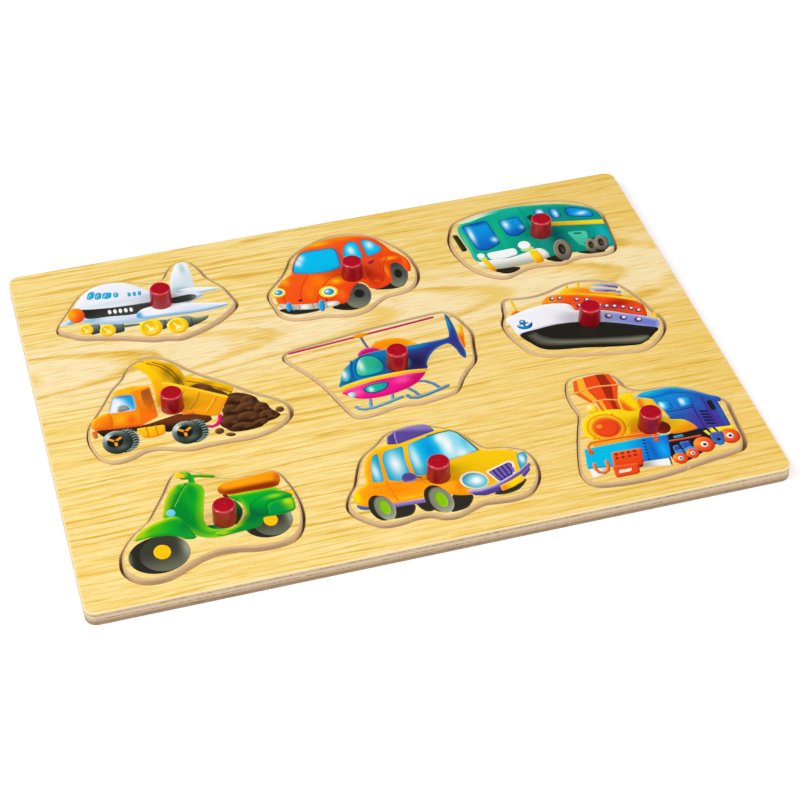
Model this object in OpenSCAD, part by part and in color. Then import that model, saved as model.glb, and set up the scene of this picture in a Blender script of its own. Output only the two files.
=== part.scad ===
// Wooden peg puzzle: a face board with nine cut-through pockets, glued onto a
// thin back board, and nine loose picture tiles that lift out by moulded knobs.
// The origin is the middle of the underside, X runs along the board, Y goes
// away from the child and Z is up.

/* [Board] */
// Margin left and right of the three columns of pockets
side_margin = 16; // [12:0.5:30]
// Margin in front of and behind the three rows of pockets
end_margin = 9.85; // [8:0.05:20]
// Thickness of the face board that the pockets are cut through
face_t = 4.8; // [4:0.1:6]
// Thickness of the back board that closes the pockets
back_t = 2; // [1.5:0.1:3]
// Radius of the four corners, seen from above
corner_r = 5; // [3:0.5:8]
// Radius that eases the sharp outer edges of the board
board_ease = 0.5; // [0.3:0.1:0.8]

/* [Pocket layout] */
// Wood left between the widest pockets of two columns
column_web = 5.6; // [4:0.2:12]
// Wood left between the deepest pockets of two rows
row_web = 1; // [0.5:0.1:6]
// Clearance all round a tile that lies centred in its pocket
tile_clear = 1.3; // [0.8:0.1:1.8]

/* [Tiles] */
// Thickness of a tile, which stands proud of the face board
tile_t = 6; // [5.5:0.1:7]
// Radius of the eased upper rim of a tile
tile_ease = 0.8; // [0.5:0.1:1]
// Length of the plane tile
plane_l = 81.5; // [79:0.5:83]
// Width of the plane tile
plane_w = 56; // [54:0.5:57]
// Length of the car tile
car_l = 71.5; // [69:0.5:73]
// Width of the car tile
car_w = 60.5; // [58:0.5:61]
// Length of the bus tile
bus_l = 77; // [75:0.5:79]
// Width of the bus tile
bus_w = 53.5; // [51:0.5:55]
// Length of the dump truck tile
dump_truck_l = 87; // [84:0.5:88]
// Width of the dump truck tile
dump_truck_w = 65; // [62:0.5:66]
// Length of the helicopter tile
helicopter_l = 85; // [82:0.5:86]
// Width of the helicopter tile
helicopter_w = 59.5; // [57:0.5:61]
// Length of the ship tile
ship_l = 70.5; // [68:0.5:72]
// Width of the ship tile
ship_w = 55.5; // [53:0.5:57]
// Length of the scooter tile
scooter_l = 76.5; // [74:0.5:78]
// Width of the scooter tile
scooter_w = 59.5; // [57:0.5:61]
// Length of the taxi tile
taxi_l = 82; // [79:0.5:83]
// Width of the taxi tile
taxi_w = 58; // [56:0.5:60]
// Length of the train tile
train_l = 74.5; // [72:0.5:76]
// Width of the train tile
train_w = 70; // [68:0.5:71]

/* [Knobs] */
// Height of a knob above its tile
knob_h = 8.6; // [7:0.1:12]
// Diameter of a knob just under its shoulder
knob_d = 9.6; // [8:0.1:14]
// How far the waist stands out beyond that diameter all round
knob_draft = 0.2; // [0.05:0.05:0.4]
// How far the foot stands out beyond the waist all round
knob_flare = 0.15; // [0.05:0.05:1.2]
// Height of the upright lip round the foot
knob_lip_h = 0.3; // [0.2:0.1:0.8]
// Radius of the round shoulder
knob_shoulder_r = 1; // [0.5:0.1:1.5]
// Radius of the hollow flare between waist and foot
knob_flare_r = 4; // [3:0.5:6]
// Diameter of the stem pressed into the tile
stem_d = 4.4; // [3.5:0.1:5.5]
// Radial clearance of the stem in its hole
stem_clear = 0.03; // [0.02:0.01:0.05]
// Distance by which the stem ends short of the underside of the tile
stem_short = 0.6; // [0.3:0.1:1.5]
// Length of the lead-in taper at the end of the stem
stem_lead = 0.5; // [0.3:0.1:0.8]
// Diameter of the gate mark sunk into the top of the knob
gate_d = 1.4; // [1:0.1:2]
// Depth of the gate mark
gate_depth = 0.15; // [0.1:0.05:0.3]

/* [Hidden] */
// Height of the board's upper face
board_t = back_t + face_t;
// Height of the upper face of a tile that lies in its pocket
tile_top = back_t + tile_t;
// Overrun of cuts past the face they leave
overrun = 1;
// Steps of the spline between two points of an outline
spline_steps = 4;
// Steps round one corner of the board
corner_steps = 8;
// Facets of everything round
$fn = 64;

// Each outline runs counterclockwise from the left end of its tile. Its points
// are shares of the length and the width of the tile, from the lower left.
plane_outline_shares = [
  [0, 0.385], [0.015, 0.335], [0.055, 0.295], [0.11, 0.235], [0.2, 0.195],
  [0.32, 0.145], [0.42, 0.09], [0.505, 0.045], [0.58, 0.03], [0.65, 0.005],
  [0.75, 0.045], [0.85, 0.11], [0.94, 0.205], [1, 0.305], [0.99, 0.405],
  [0.955, 0.565], [0.89, 0.71], [0.855, 0.87], [0.81, 0.98], [0.75, 0.99],
  [0.695, 0.915], [0.65, 0.8], [0.58, 0.77], [0.495, 0.815], [0.395, 0.875],
  [0.285, 0.88], [0.19, 0.815], [0.13, 0.71], [0.08, 0.595], [0.025, 0.47]
];
car_outline_shares = [
  [0.005, 0.39], [0.02, 0.25], [0.04, 0.14], [0.095, 0.08], [0.185, 0.055],
  [0.3, 0.05], [0.395, 0.02], [0.495, 0.005], [0.585, 0.03], [0.665, 0.1],
  [0.735, 0.145], [0.84, 0.16], [0.92, 0.2], [0.97, 0.28], [0.995, 0.38],
  [0.995, 0.48], [0.98, 0.59], [0.945, 0.69], [0.9, 0.775], [0.83, 0.88],
  [0.745, 0.955], [0.635, 0.995], [0.525, 0.995], [0.42, 0.96], [0.32, 0.895],
  [0.24, 0.82], [0.2, 0.73], [0.15, 0.63], [0.09, 0.545], [0.03, 0.465]
];
bus_outline_shares = [
  [0.005, 0.505], [0.02, 0.375], [0.05, 0.24], [0.1, 0.125], [0.17, 0.035],
  [0.24, 0], [0.31, 0.035], [0.385, 0.07], [0.455, 0.08], [0.535, 0.065],
  [0.605, 0.05], [0.665, 0.075], [0.73, 0.095], [0.805, 0.085], [0.885, 0.075],
  [0.95, 0.11], [0.975, 0.2], [0.985, 0.365], [1, 0.575], [0.995, 0.675],
  [0.94, 0.81], [0.845, 0.91], [0.715, 0.965], [0.56, 0.995], [0.405, 0.995],
  [0.26, 0.965], [0.155, 0.925], [0.085, 0.875], [0.04, 0.765], [0.01, 0.64]
];
dump_truck_outline_shares = [
  [0, 0.27], [0.015, 0.15], [0.045, 0.06], [0.105, 0.015], [0.18, 0.03],
  [0.25, 0.07], [0.32, 0.07], [0.395, 0.035], [0.475, 0.005], [0.555, 0.01],
  [0.67, 0.01], [0.785, 0.005], [0.89, 0.04], [0.965, 0.105], [1, 0.175],
  [0.995, 0.26], [0.95, 0.33], [0.875, 0.41], [0.795, 0.51], [0.72, 0.61],
  [0.645, 0.695], [0.565, 0.805], [0.515, 0.895], [0.45, 0.975], [0.38, 1],
  [0.3, 0.95], [0.265, 0.89], [0.235, 0.82], [0.175, 0.73], [0.12, 0.61],
  [0.065, 0.495], [0.015, 0.39]
];
helicopter_outline_shares = [
  [0, 0.805], [0.03, 0.715], [0.1, 0.555], [0.155, 0.38], [0.2, 0.175],
  [0.24, 0.03], [0.295, 0], [0.385, 0.02], [0.465, 0.045], [0.52, 0.045],
  [0.585, 0.03], [0.67, 0.045], [0.76, 0.07], [0.8, 0.105], [0.85, 0.215],
  [0.9, 0.305], [0.955, 0.395], [0.98, 0.565], [1, 0.7], [0.985, 0.805],
  [0.955, 0.925], [0.91, 0.995], [0.795, 0.995], [0.605, 0.975], [0.43, 0.95],
  [0.265, 0.915], [0.11, 0.89], [0.025, 0.86]
];
ship_outline_shares = [
  [0.005, 0.65], [0.005, 0.52], [0.04, 0.36], [0.09, 0.225], [0.165, 0.16],
  [0.3, 0.115], [0.455, 0.07], [0.61, 0.03], [0.74, 0.005], [0.825, 0.03],
  [0.91, 0.11], [0.975, 0.215], [0.995, 0.335], [0.965, 0.44], [0.94, 0.57],
  [0.905, 0.71], [0.845, 0.86], [0.765, 0.94], [0.655, 0.985], [0.555, 0.995],
  [0.47, 0.97], [0.37, 0.925], [0.27, 0.905], [0.17, 0.915], [0.085, 0.93],
  [0.055, 0.84], [0.04, 0.745]
];
scooter_outline_shares = [
  [0, 0.145], [0.05, 0.045], [0.125, 0], [0.22, 0.005], [0.31, 0.055],
  [0.4, 0.11], [0.505, 0.145], [0.61, 0.135], [0.715, 0.105], [0.82, 0.1],
  [0.91, 0.13], [0.965, 0.215], [0.995, 0.345], [1, 0.48], [0.985, 0.615],
  [0.96, 0.735], [0.925, 0.82], [0.835, 0.835], [0.715, 0.82], [0.605, 0.865],
  [0.53, 0.945], [0.44, 1], [0.38, 0.97], [0.31, 0.81], [0.245, 0.675],
  [0.19, 0.565], [0.115, 0.485], [0.05, 0.39], [0.005, 0.28]
];
taxi_outline_shares = [
  [0, 0.305], [0.02, 0.205], [0.08, 0.11], [0.14, 0.05], [0.225, 0.045],
  [0.315, 0.065], [0.385, 0.055], [0.45, 0.005], [0.52, 0], [0.595, 0.04],
  [0.665, 0.07], [0.74, 0.06], [0.825, 0.05], [0.905, 0.08], [0.965, 0.17],
  [0.995, 0.27], [1, 0.41], [0.965, 0.52], [0.89, 0.58], [0.79, 0.615],
  [0.74, 0.71], [0.69, 0.825], [0.645, 0.89], [0.57, 0.955], [0.51, 1],
  [0.4, 0.995], [0.32, 0.96], [0.255, 0.875], [0.16, 0.77], [0.115, 0.65],
  [0.075, 0.505], [0.03, 0.415]
];
train_outline_shares = [
  [0, 0.125], [0.03, 0.05], [0.095, 0.02], [0.205, 0.005], [0.34, 0],
  [0.475, 0.01], [0.595, 0.03], [0.73, 0.055], [0.865, 0.075], [0.945, 0.1],
  [0.98, 0.17], [0.99, 0.295], [1, 0.44], [1, 0.525], [0.92, 0.605],
  [0.82, 0.705], [0.7, 0.75], [0.565, 0.76], [0.485, 0.82], [0.46, 0.925],
  [0.38, 0.99], [0.27, 1], [0.185, 0.975], [0.145, 0.87], [0.14, 0.755],
  [0.15, 0.655], [0.11, 0.54], [0.075, 0.44], [0.04, 0.325], [0.01, 0.21]
];

// The pictures, seen from above, from the far row to the near one. All the
// tables below are in this order.
layout = [
  ["plane", "car", "bus"],
  ["dump_truck", "helicopter", "ship"],
  ["scooter", "taxi", "train"]
];
// The length and width of each tile
tile_sizes = [
  [[plane_l, plane_w], [car_l, car_w], [bus_l, bus_w]],
  [[dump_truck_l, dump_truck_w], [helicopter_l, helicopter_w], [ship_l, ship_w]],
  [[scooter_l, scooter_w], [taxi_l, taxi_w], [train_l, train_w]]
];
// The outline of each tile
outline_shares = [
  [plane_outline_shares, car_outline_shares, bus_outline_shares],
  [dump_truck_outline_shares, helicopter_outline_shares, ship_outline_shares],
  [scooter_outline_shares, taxi_outline_shares, train_outline_shares]
];
// How far each pocket is set off the middle of its cell, in shares of the margins
pocket_set_shares = [
  [[-0.185, 0.17], [-0.31, -0.155], [0.02, 0.135]],
  [[0.085, -0.16], [-0.075, -0.52], [0.2, 0.095]],
  [[-0.215, -0.615], [0.045, -0.51], [0.435, -0.04]]
];
// How far each loose tile lies off the middle of its pocket, in shares of the clearance
tile_lie_shares = [
  [[-0.15, 0.25], [-0.35, -0.7], [-0.25, -0.45]],
  [[-0.5, -0.5], [-0.25, -0.7], [-0.35, -0.75]],
  [[0.1, 0.6], [0, 0.05], [-0.6, 0.1]]
];
// The middle of each knob, in shares of the size of its tile, from the lower left
knob_place_shares = [
  [[0.6, 0.485], [0.58, 0.47], [0.575, 0.52]],
  [[0.445, 0.445], [0.555, 0.5], [0.545, 0.48]],
  [[0.585, 0.425], [0.495, 0.42], [0.505, 0.425]]
];
// The middle of a tile, from its lower left
middle_share = [0.5, 0.5];

// A product of two pairs, term by term
function scaled(a, b) = [a.x * b.x, a.y * b.y];

// A point of the spline between b and c, at the share t of the way
function spline_point(a, b, c, d, t) =
  (2 * b + (c - a) * t + (2 * a - 5 * b + 4 * c - d) * t * t
    + (3 * b - a - 3 * c + d) * t * t * t) / 2;

// A closed smooth curve through all points
function smooth_loop(points) =
  let (n = len(points))
  [for (i = [0 : n - 1], k = [0 : spline_steps - 1])
    spline_point(points[(i + n - 1) % n], points[i], points[(i + 1) % n],
      points[(i + 2) % n], k / spline_steps)];

// The unit vector that points out of a counterclockwise loop at its point i
function outward(loop, i) =
  let (n = len(loop), along = loop[(i + 1) % n] - loop[(i + n - 1) % n])
  [along.y, -along.x] / norm(along);

// The same loop moved outwards, or inwards if the distance is negative
function grown(loop, distance) =
  [for (i = [0 : len(loop) - 1]) loop[i] + distance * outward(loop, i)];

// The sum of the first values of a list
function sum(values, count) = count == 0 ? 0 : values[count - 1] + sum(values, count - 1);

// The row and the column of a picture
function cell(picture) =
  [for (row = [0 : len(layout) - 1], column = [0 : len(layout[row]) - 1])
    if (layout[row][column] == picture) [row, column]][0];

// What a table holds for a picture
function of(table, picture) =
  let (at = cell(picture)) table[at[0]][at[1]];

// Each column is as wide as its widest pocket, and each row as deep as its deepest
column_widths = [for (column = [0 : len(layout[0]) - 1])
  max([for (row = tile_sizes) row[column].x]) + 2 * tile_clear];
row_depths = [for (row = tile_sizes)
  max([for (size = row) size.y]) + 2 * tile_clear];
columns = len(column_widths);
rows = len(row_depths);
// The size of the board follows from its pockets, webs and margins
board_l = sum(column_widths, columns) + (columns - 1) * column_web + 2 * side_margin;
board_w = sum(row_depths, rows) + (rows - 1) * row_web + 2 * end_margin;

// The middle of the cell that holds a picture's pocket
function cell_middle(picture) =
  let (at = cell(picture), row = at[0], column = at[1])
  [side_margin + sum(column_widths, column) + column * column_web
      + column_widths[column] / 2 - board_l / 2,
    board_w / 2 - end_margin - sum(row_depths, row) - row * row_web
      - row_depths[row] / 2];

// The outline of a picture tile about its own middle
function tile_outline(picture) =
  smooth_loop([for (share = of(outline_shares, picture))
    scaled(share - middle_share, of(tile_sizes, picture))]);

// The middle of a pocket on the board
function pocket_place(picture) =
  cell_middle(picture) + scaled(of(pocket_set_shares, picture), [side_margin, end_margin]);

// The middle of a tile as it lies in its pocket
function tile_place(picture) =
  pocket_place(picture) + tile_clear * of(tile_lie_shares, picture);

// The place of a knob on its tile
function knob_place(picture) =
  scaled(of(knob_place_shares, picture) - middle_share, of(tile_sizes, picture));

// The outline of the board, with each round corner in steps of its quarter turn
function board_outline() =
  [for (corner = [[1, -1, -1], [1, 1, 0], [-1, 1, 1], [-1, -1, 2]],
      k = [0 : corner_steps])
    let (turn = 90 * (corner[2] + k / corner_steps))
    [corner.x * (board_l / 2 - corner_r) + corner_r * cos(turn),
      corner.y * (board_w / 2 - corner_r) + corner_r * sin(turn)]];

// A closed ring round a loop that cuts a round of the radius ease off the
// upper edge of a plate. Its section is a chain of two chords under the arc,
// run on past both faces, and one point clear of the edge.
module edge_cutter(loop, top, ease) {
  mid_share = 1 - cos(45);
  run_on_share = 0.1;
  far_share = 1 + run_on_share * (1 - mid_share) / mid_share;
  section = [
    [-far_share * ease, run_on_share * ease],
    [-mid_share * ease, -mid_share * ease],
    [run_on_share * ease, -far_share * ease],
    [ease, ease]
  ];
  sides = len(section);
  count = len(loop);
  points = [for (i = [0 : count - 1], corner = section)
    let (at = loop[i] + corner.x * outward(loop, i)) [at.x, at.y, top + corner.y]];
  faces = [for (i = [0 : count - 1], k = [0 : sides - 1])
    let (here = i * sides, next = (i + 1) % count * sides, up = (k + 1) % sides)
    each [[here + k, here + up, next + up], [here + k, next + up, next + k]]];
  polyhedron(points = points, faces = faces);
}

// The flat shape of the board, with true arcs at the corners
module board_shape() {
  square([board_l - 2 * corner_r, board_w], center = true);
  square([board_l, board_w - 2 * corner_r], center = true);
  for (x = [-1, 1], y = [-1, 1])
    translate([x * (board_l / 2 - corner_r), y * (board_w / 2 - corner_r)])
      circle(r = corner_r);
}

// The back board carries the face board and closes the pockets from below
module back_board() {
  color("#b39a80")
    difference() {
      linear_extrude(height = back_t) board_shape();
      mirror([0, 0, 1]) edge_cutter(board_outline(), 0, board_ease);
    }
}

// The face board, with a pocket cut right through it for each tile
module face_board() {
  color("#f3d795")
    difference() {
      translate([0, 0, back_t]) linear_extrude(height = face_t) board_shape();
      edge_cutter(board_outline(), board_t, board_ease);
      for (row = layout, picture = row) pocket(picture);
    }
}

// The cut for one pocket: the outline of its tile, grown by the clearance
module pocket(picture) {
  translate([pocket_place(picture).x, pocket_place(picture).y, back_t - overrun])
    linear_extrude(height = face_t + 2 * overrun)
      polygon(grown(tile_outline(picture), tile_clear));
}

// A loose tile in its pocket, with an eased rim and a hole for its knob
module tile(picture, shade) {
  outline = tile_outline(picture);
  color(shade)
    translate([tile_place(picture).x, tile_place(picture).y, back_t])
      difference() {
        linear_extrude(height = tile_t) polygon(outline);
        edge_cutter(outline, tile_t, tile_ease);
        translate([knob_place(picture).x, knob_place(picture).y, -overrun])
          cylinder(d = stem_d + 2 * stem_clear, h = tile_t + 2 * overrun);
      }
}

// Half the section of a knob: stem, foot, hollow flare, body and shoulder
module knob_section() {
  stem_r = stem_d / 2;
  top_r = knob_d / 2;
  waist_r = top_r + knob_draft;
  foot_r = waist_r + knob_flare;
  gate_r = gate_d / 2;
  stem_end = stem_short - tile_t;
  shoulder_h = knob_h - knob_shoulder_r;
  // The hollow meets the waist upright, and the foot at the top of its lip
  waist_h = knob_lip_h + sqrt(knob_flare * (2 * knob_flare_r - knob_flare));
  difference() {
    polygon([
      [0, stem_end], [stem_r - stem_lead, stem_end],
      [stem_r, stem_end + stem_lead], [stem_r, 0], [foot_r, 0],
      [foot_r, waist_h], [waist_r, waist_h], [top_r, shoulder_h],
      [top_r - knob_shoulder_r, shoulder_h], [top_r - knob_shoulder_r, knob_h],
      [gate_r, knob_h], [gate_r, knob_h - gate_depth], [0, knob_h - gate_depth]
    ]);
    translate([waist_r + knob_flare_r, waist_h]) circle(r = knob_flare_r);
  }
  translate([top_r - knob_shoulder_r, shoulder_h]) circle(r = knob_shoulder_r);
}

// A moulded knob, pressed by its stem into its tile
module knob(picture) {
  place = tile_place(picture) + knob_place(picture);
  color("#b3122a")
    translate([place.x, place.y, tile_top])
      rotate_extrude() knob_section();
}

module plane_tile() { tile("plane", "#eef1f4"); }
module car_tile() { tile("car", "#f0562a"); }
module bus_tile() { tile("bus", "#0d9c8c"); }
module dump_truck_tile() { tile("dump_truck", "#f59a1c"); }
module helicopter_tile() { tile("helicopter", "#1f7fb5"); }
module ship_tile() { tile("ship", "#3a3a34"); }
module scooter_tile() { tile("scooter", "#2f9e2c"); }
module taxi_tile() { tile("taxi", "#f7b418"); }
module train_tile() { tile("train", "#1b86c9"); }

module plane_knob() { knob("plane"); }
module car_knob() { knob("car"); }
module bus_knob() { knob("bus"); }
module dump_truck_knob() { knob("dump_truck"); }
module helicopter_knob() { knob("helicopter"); }
module ship_knob() { knob("ship"); }
module scooter_knob() { knob("scooter"); }
module taxi_knob() { knob("taxi"); }
module train_knob() { knob("train"); }

back_board();
face_board();
plane_tile();
car_tile();
bus_tile();
dump_truck_tile();
helicopter_tile();
ship_tile();
scooter_tile();
taxi_tile();
train_tile();
plane_knob();
car_knob();
bus_knob();
dump_truck_knob();
helicopter_knob();
ship_knob();
scooter_knob();
taxi_knob();
train_knob();
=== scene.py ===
"""Looks of a wooden peg puzzle: a printed board, nine vehicle pictures and red knobs."""

import math

import bpy
import numpy as np
from mathutils import Matrix, Vector
from mathutils.geometry import delaunay_2d_cdt


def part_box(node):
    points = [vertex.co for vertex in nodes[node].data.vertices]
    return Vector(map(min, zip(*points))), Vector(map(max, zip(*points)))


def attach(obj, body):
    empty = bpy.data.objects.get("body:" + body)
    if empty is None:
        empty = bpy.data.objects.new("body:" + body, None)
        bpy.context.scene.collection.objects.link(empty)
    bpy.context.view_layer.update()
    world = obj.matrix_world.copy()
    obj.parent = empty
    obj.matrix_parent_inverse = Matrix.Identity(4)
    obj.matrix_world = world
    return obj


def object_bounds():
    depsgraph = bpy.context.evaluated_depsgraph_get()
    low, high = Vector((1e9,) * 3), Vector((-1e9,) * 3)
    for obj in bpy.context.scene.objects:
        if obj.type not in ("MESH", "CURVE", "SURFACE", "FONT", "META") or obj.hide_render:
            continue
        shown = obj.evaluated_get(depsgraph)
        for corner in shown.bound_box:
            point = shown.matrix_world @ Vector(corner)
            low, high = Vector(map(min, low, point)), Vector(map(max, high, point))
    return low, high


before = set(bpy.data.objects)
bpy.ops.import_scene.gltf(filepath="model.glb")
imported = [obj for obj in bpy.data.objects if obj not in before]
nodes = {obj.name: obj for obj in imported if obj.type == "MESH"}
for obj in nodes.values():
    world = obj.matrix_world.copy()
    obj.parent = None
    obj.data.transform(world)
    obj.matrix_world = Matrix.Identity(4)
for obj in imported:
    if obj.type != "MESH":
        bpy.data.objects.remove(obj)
cad_low, cad_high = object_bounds()

MM = 0.001
BOARD_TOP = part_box("face_board")[1].z
HALF_LENGTH, HALF_WIDTH = cad_high.x / MM, cad_high.y / MM

# The photograph's camera: its angles in degrees, its place in millimetres from the middle of
# the board's top, and its lens and sensor in millimetres.
YAW, PITCH, ROLL = 14.86, 41.12, -1.13
CAMERA_PLACE = (-177.3, -703.8, 614.4)
LENS, SENSOR = 96.3, 36

# The printed skins: how far they stand over their tiles, how deep they reach from there, and
# the spacing of the points inside them, in hundredths of a tile's length.
PRINT_TOP, PRINT_DEPTH, DOT = 0.03 * MM, 0.08 * MM, 0.7


def add_camera():
    """The photograph's own view, from its solved place, angles and lens."""
    yaw, pitch, roll = (math.radians(angle) for angle in (YAW, PITCH, ROLL))
    forward = Vector((
        math.sin(yaw) * math.cos(pitch), math.cos(yaw) * math.cos(pitch), -math.sin(pitch)
    ))
    right = Vector((math.cos(yaw), -math.sin(yaw), 0))
    upright = Matrix((right, right.cross(forward), -forward)).transposed()
    data = bpy.data.cameras.new("camera")
    data.sensor_width, data.lens = SENSOR, LENS
    camera = bpy.data.objects.new("camera", data)
    camera.matrix_world = (upright @ Matrix.Rotation(roll, 3, "Z")).to_4x4()
    camera.location = Vector(CAMERA_PLACE) * MM + Vector((0, 0, BOARD_TOP))
    bpy.context.scene.collection.objects.link(camera)
    bpy.context.scene.camera = camera


def shown(code):
    """A colour written as #rrggbb, as shown on a screen."""
    return np.array([int(code[at : at + 2], 16) / 255 for at in (1, 3, 5)])


def lit(colour):
    """Colours as shown on a screen, in linear light."""
    return np.where(colour <= 0.04045, colour / 12.92, ((colour + 0.055) / 1.055) ** 2.4)


def linear(code):
    return (*lit(shown(code)), 1)


class Paint:
    """A material's or world's node tree, built by short calls that each return a socket."""

    def __init__(self, name, kind=bpy.data.materials):
        self.material = kind.new(name)
        self.material.use_nodes = True
        self.tree = self.material.node_tree
        self.shader = self.tree.nodes.get("Principled BSDF")

    def feed(self, socket, value):
        if isinstance(value, bpy.types.NodeSocket):
            self.tree.links.new(value, socket)
        else:
            socket.default_value = value

    def node(self, kind, inputs=(), **settings):
        made = self.tree.nodes.new("ShaderNode" + kind)
        for key, value in settings.items():
            setattr(made, key, value)
        for key, value in dict(inputs).items():
            self.feed(made.inputs[key], value)
        return made

    def math(self, operation, *values):
        return self.node("Math", dict(enumerate(values)), operation=operation).outputs[0]

    def times(self, first, second):
        return self.math("MULTIPLY", first, second)

    def shifted(self, base, noise, reach):
        """The base pushed to and fro by a noise about one half."""
        return self.math("MULTIPLY_ADD", self.math("SUBTRACT", noise, 0.5), reach, base)

    def place(self):
        """The point's x, y and z in the part's frame, in millimetres."""
        at = self.node("TexCoord").outputs["Object"]
        scaled = self.node("VectorMath", {0: at, 1: (1 / MM,) * 3}, operation="MULTIPLY")
        return self.node("SeparateXYZ", {0: scaled.outputs[0]}).outputs

    def noise(self, x, y, z=0.0, scale=1.0, detail=2.0, roughness=0.5):
        """Noise at a point. Where x, y or z is a pair, its second is its grain in millimetres."""
        point = {}
        for at, value in enumerate((x, y, z)):
            point[at] = self.math("DIVIDE", *value) if isinstance(value, tuple) else value
        vector = self.node("CombineXYZ", point).outputs[0]
        inputs = {"Vector": vector, "Scale": scale, "Detail": detail, "Roughness": roughness}
        return self.node("TexNoise", inputs).outputs[0]

    def step(self, value, low, high, to_low=0.0, to_high=1.0):
        """Goes smoothly from to_low at low to to_high at high."""
        inputs = {0: value, 1: low, 2: high, 3: to_low, 4: to_high}
        return self.node("MapRange", inputs, interpolation_type="SMOOTHSTEP").outputs[0]

    def between(self, value, rise, fall, top=1.0):
        """Goes from 0 to the top over the first pair of values, and back over the second."""
        return self.times(self.step(value, *rise), self.step(value, *fall, top, 0.0))

    def ramp(self, value, stops):
        """A colour ramp over places from 0 to 1, as pairs of place and colour."""
        made = self.node("ValToRGB", {0: value})
        marks = made.color_ramp.elements
        while len(marks) < len(stops):
            marks.new(0.5)
        for mark, (at, code) in zip(marks, stops):
            mark.position = at
            mark.color = linear(code)
        return made.outputs[0]

    def blend(self, share, first, second, kind="MIX"):
        made = self.node("Mix", data_type="RGBA", blend_type=kind)
        for at, value in ((0, share), (6, first), (7, second)):
            self.feed(made.inputs[at], linear(value) if isinstance(value, str) else value)
        return made.outputs[2]

    def tinted(self, colour, *tints):
        """The colour under several others, each given as its share and code."""
        for share, code in tints:
            colour = self.blend(share, colour, code)
        return colour

    def facing_up(self):
        normal = self.node("NewGeometry").outputs["True Normal"]
        return self.node("SeparateXYZ", {0: normal}).outputs[2]

    def rounded_off(self, radius):
        return self.node("Bevel", {"Radius": radius}, samples=8).outputs["Normal"]

    def worn(self, radius):
        """How nearly flat the surface stays within the radius: 1 in the middle of a face."""
        return self.node("SeparateXYZ", {0: self.rounded_off(radius)}).outputs[2]

    def bump(self, height, distance, strength, soft=0.0):
        """Small relief; with soft, sharp edges also catch light as if rounded by that radius."""
        inputs = {"Height": height, "Distance": distance, "Strength": strength}
        if soft:
            inputs["Normal"] = self.rounded_off(soft)
        self.feed(self.shader.inputs["Normal"], self.node("Bump", inputs).outputs[0])

    def finish(self, colour, roughness, specular):
        inputs = self.shader.inputs
        self.feed(inputs["Base Color"], colour)
        self.feed(inputs["Roughness"], roughness)
        inputs["Specular IOR Level"].default_value = specular
        return self.material


def printed_grain(paint):
    """The wood grain printed over board and tiles alike, as one flat-sawn figure.

    Its year rings run nearly straight along x and bend over in arches about one axis."""
    x, y, _ = paint.place()
    axis_y, tip_x, tip_spacing, tip_ring, year_width = 36.0, -33.0, 58.0, 40.0, 3.4
    half_arch, arch_edge, sway_reach, straight_lean = 24.0, 4.0, 8.0, 0.003
    drift_years, frayed_years = 3.0, 0.5
    sunny_x, shaded_x = -60.0, 170.0
    dashes = paint.noise((x, 13), (y, 0.7))
    swayed = paint.shifted(y, paint.noise((x, 110), (y, 40)), sway_reach)
    off = paint.math("SUBTRACT", swayed, axis_y)
    flank = paint.math("ABSOLUTE", paint.math("DIVIDE", off, half_arch))
    near = paint.math("EXPONENT", paint.times(paint.math("POWER", flank, arch_edge), -1.0))
    lean = paint.math("MULTIPLY_ADD", near, year_width / tip_spacing, straight_lean)
    reach = paint.math("SQRT", paint.math("MULTIPLY_ADD", off, off, tip_ring ** 2))
    ring = paint.math("MULTIPLY_ADD", paint.math("SUBTRACT", x, tip_x), lean, reach)
    drift = paint.times(paint.noise((x, 150), (ring, 9.0), 3.0, detail=1.0), drift_years)
    loose = paint.times(paint.math("SUBTRACT", 1.0, near), drift)
    frayed = paint.shifted(loose, dashes, frayed_years)
    from_tip = paint.math("SUBTRACT", ring, tip_ring)
    year = paint.math("FRACT", paint.math("MULTIPLY_ADD", from_tip, 1 / year_width, frayed))
    late = paint.between(year, (0.45, 0.82), (0.90, 1.0))
    patch = paint.noise((x, 55), (ring, 2.6), 11.0)
    depth = paint.math("MAXIMUM", paint.step(patch, 0.38, 0.62, 0.12, 1.0), paint.times(near, 0.75))
    strands = paint.noise((x, 60), (swayed, 1.7), 23.0, detail=3.0, roughness=0.6)
    away = paint.math("MULTIPLY_ADD", near, -0.75, 1.0)
    threads = paint.times(paint.step(strands, 0.46, 0.66, 0.0, 0.70), away)
    brown = paint.between(year, (0.70, 0.84), (0.88, 0.96))
    return paint.tinted(
        paint.blend(paint.step(x, sunny_x, shaded_x), "#fadf94", "#f2ce78"),
        (paint.times(near, 0.95), "#fae6b8"),
        (paint.times(late, depth), "#eec346"),
        (threads, "#edc148"),
        (paint.step(strands, 0.46, 0.30, 0.0, 0.42), "#fcecb4"),
        (paint.step(dashes, 0.50, 0.68, 0.0, 0.50), "#e8b945"),
        (paint.times(brown, paint.step(patch, 0.46, 0.64, 0.0, 0.62)), "#cf9c34"),
        (paint.step(dashes, 0.46, 0.32, 0.0, 0.36), "#fceebc"),
    )


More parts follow.
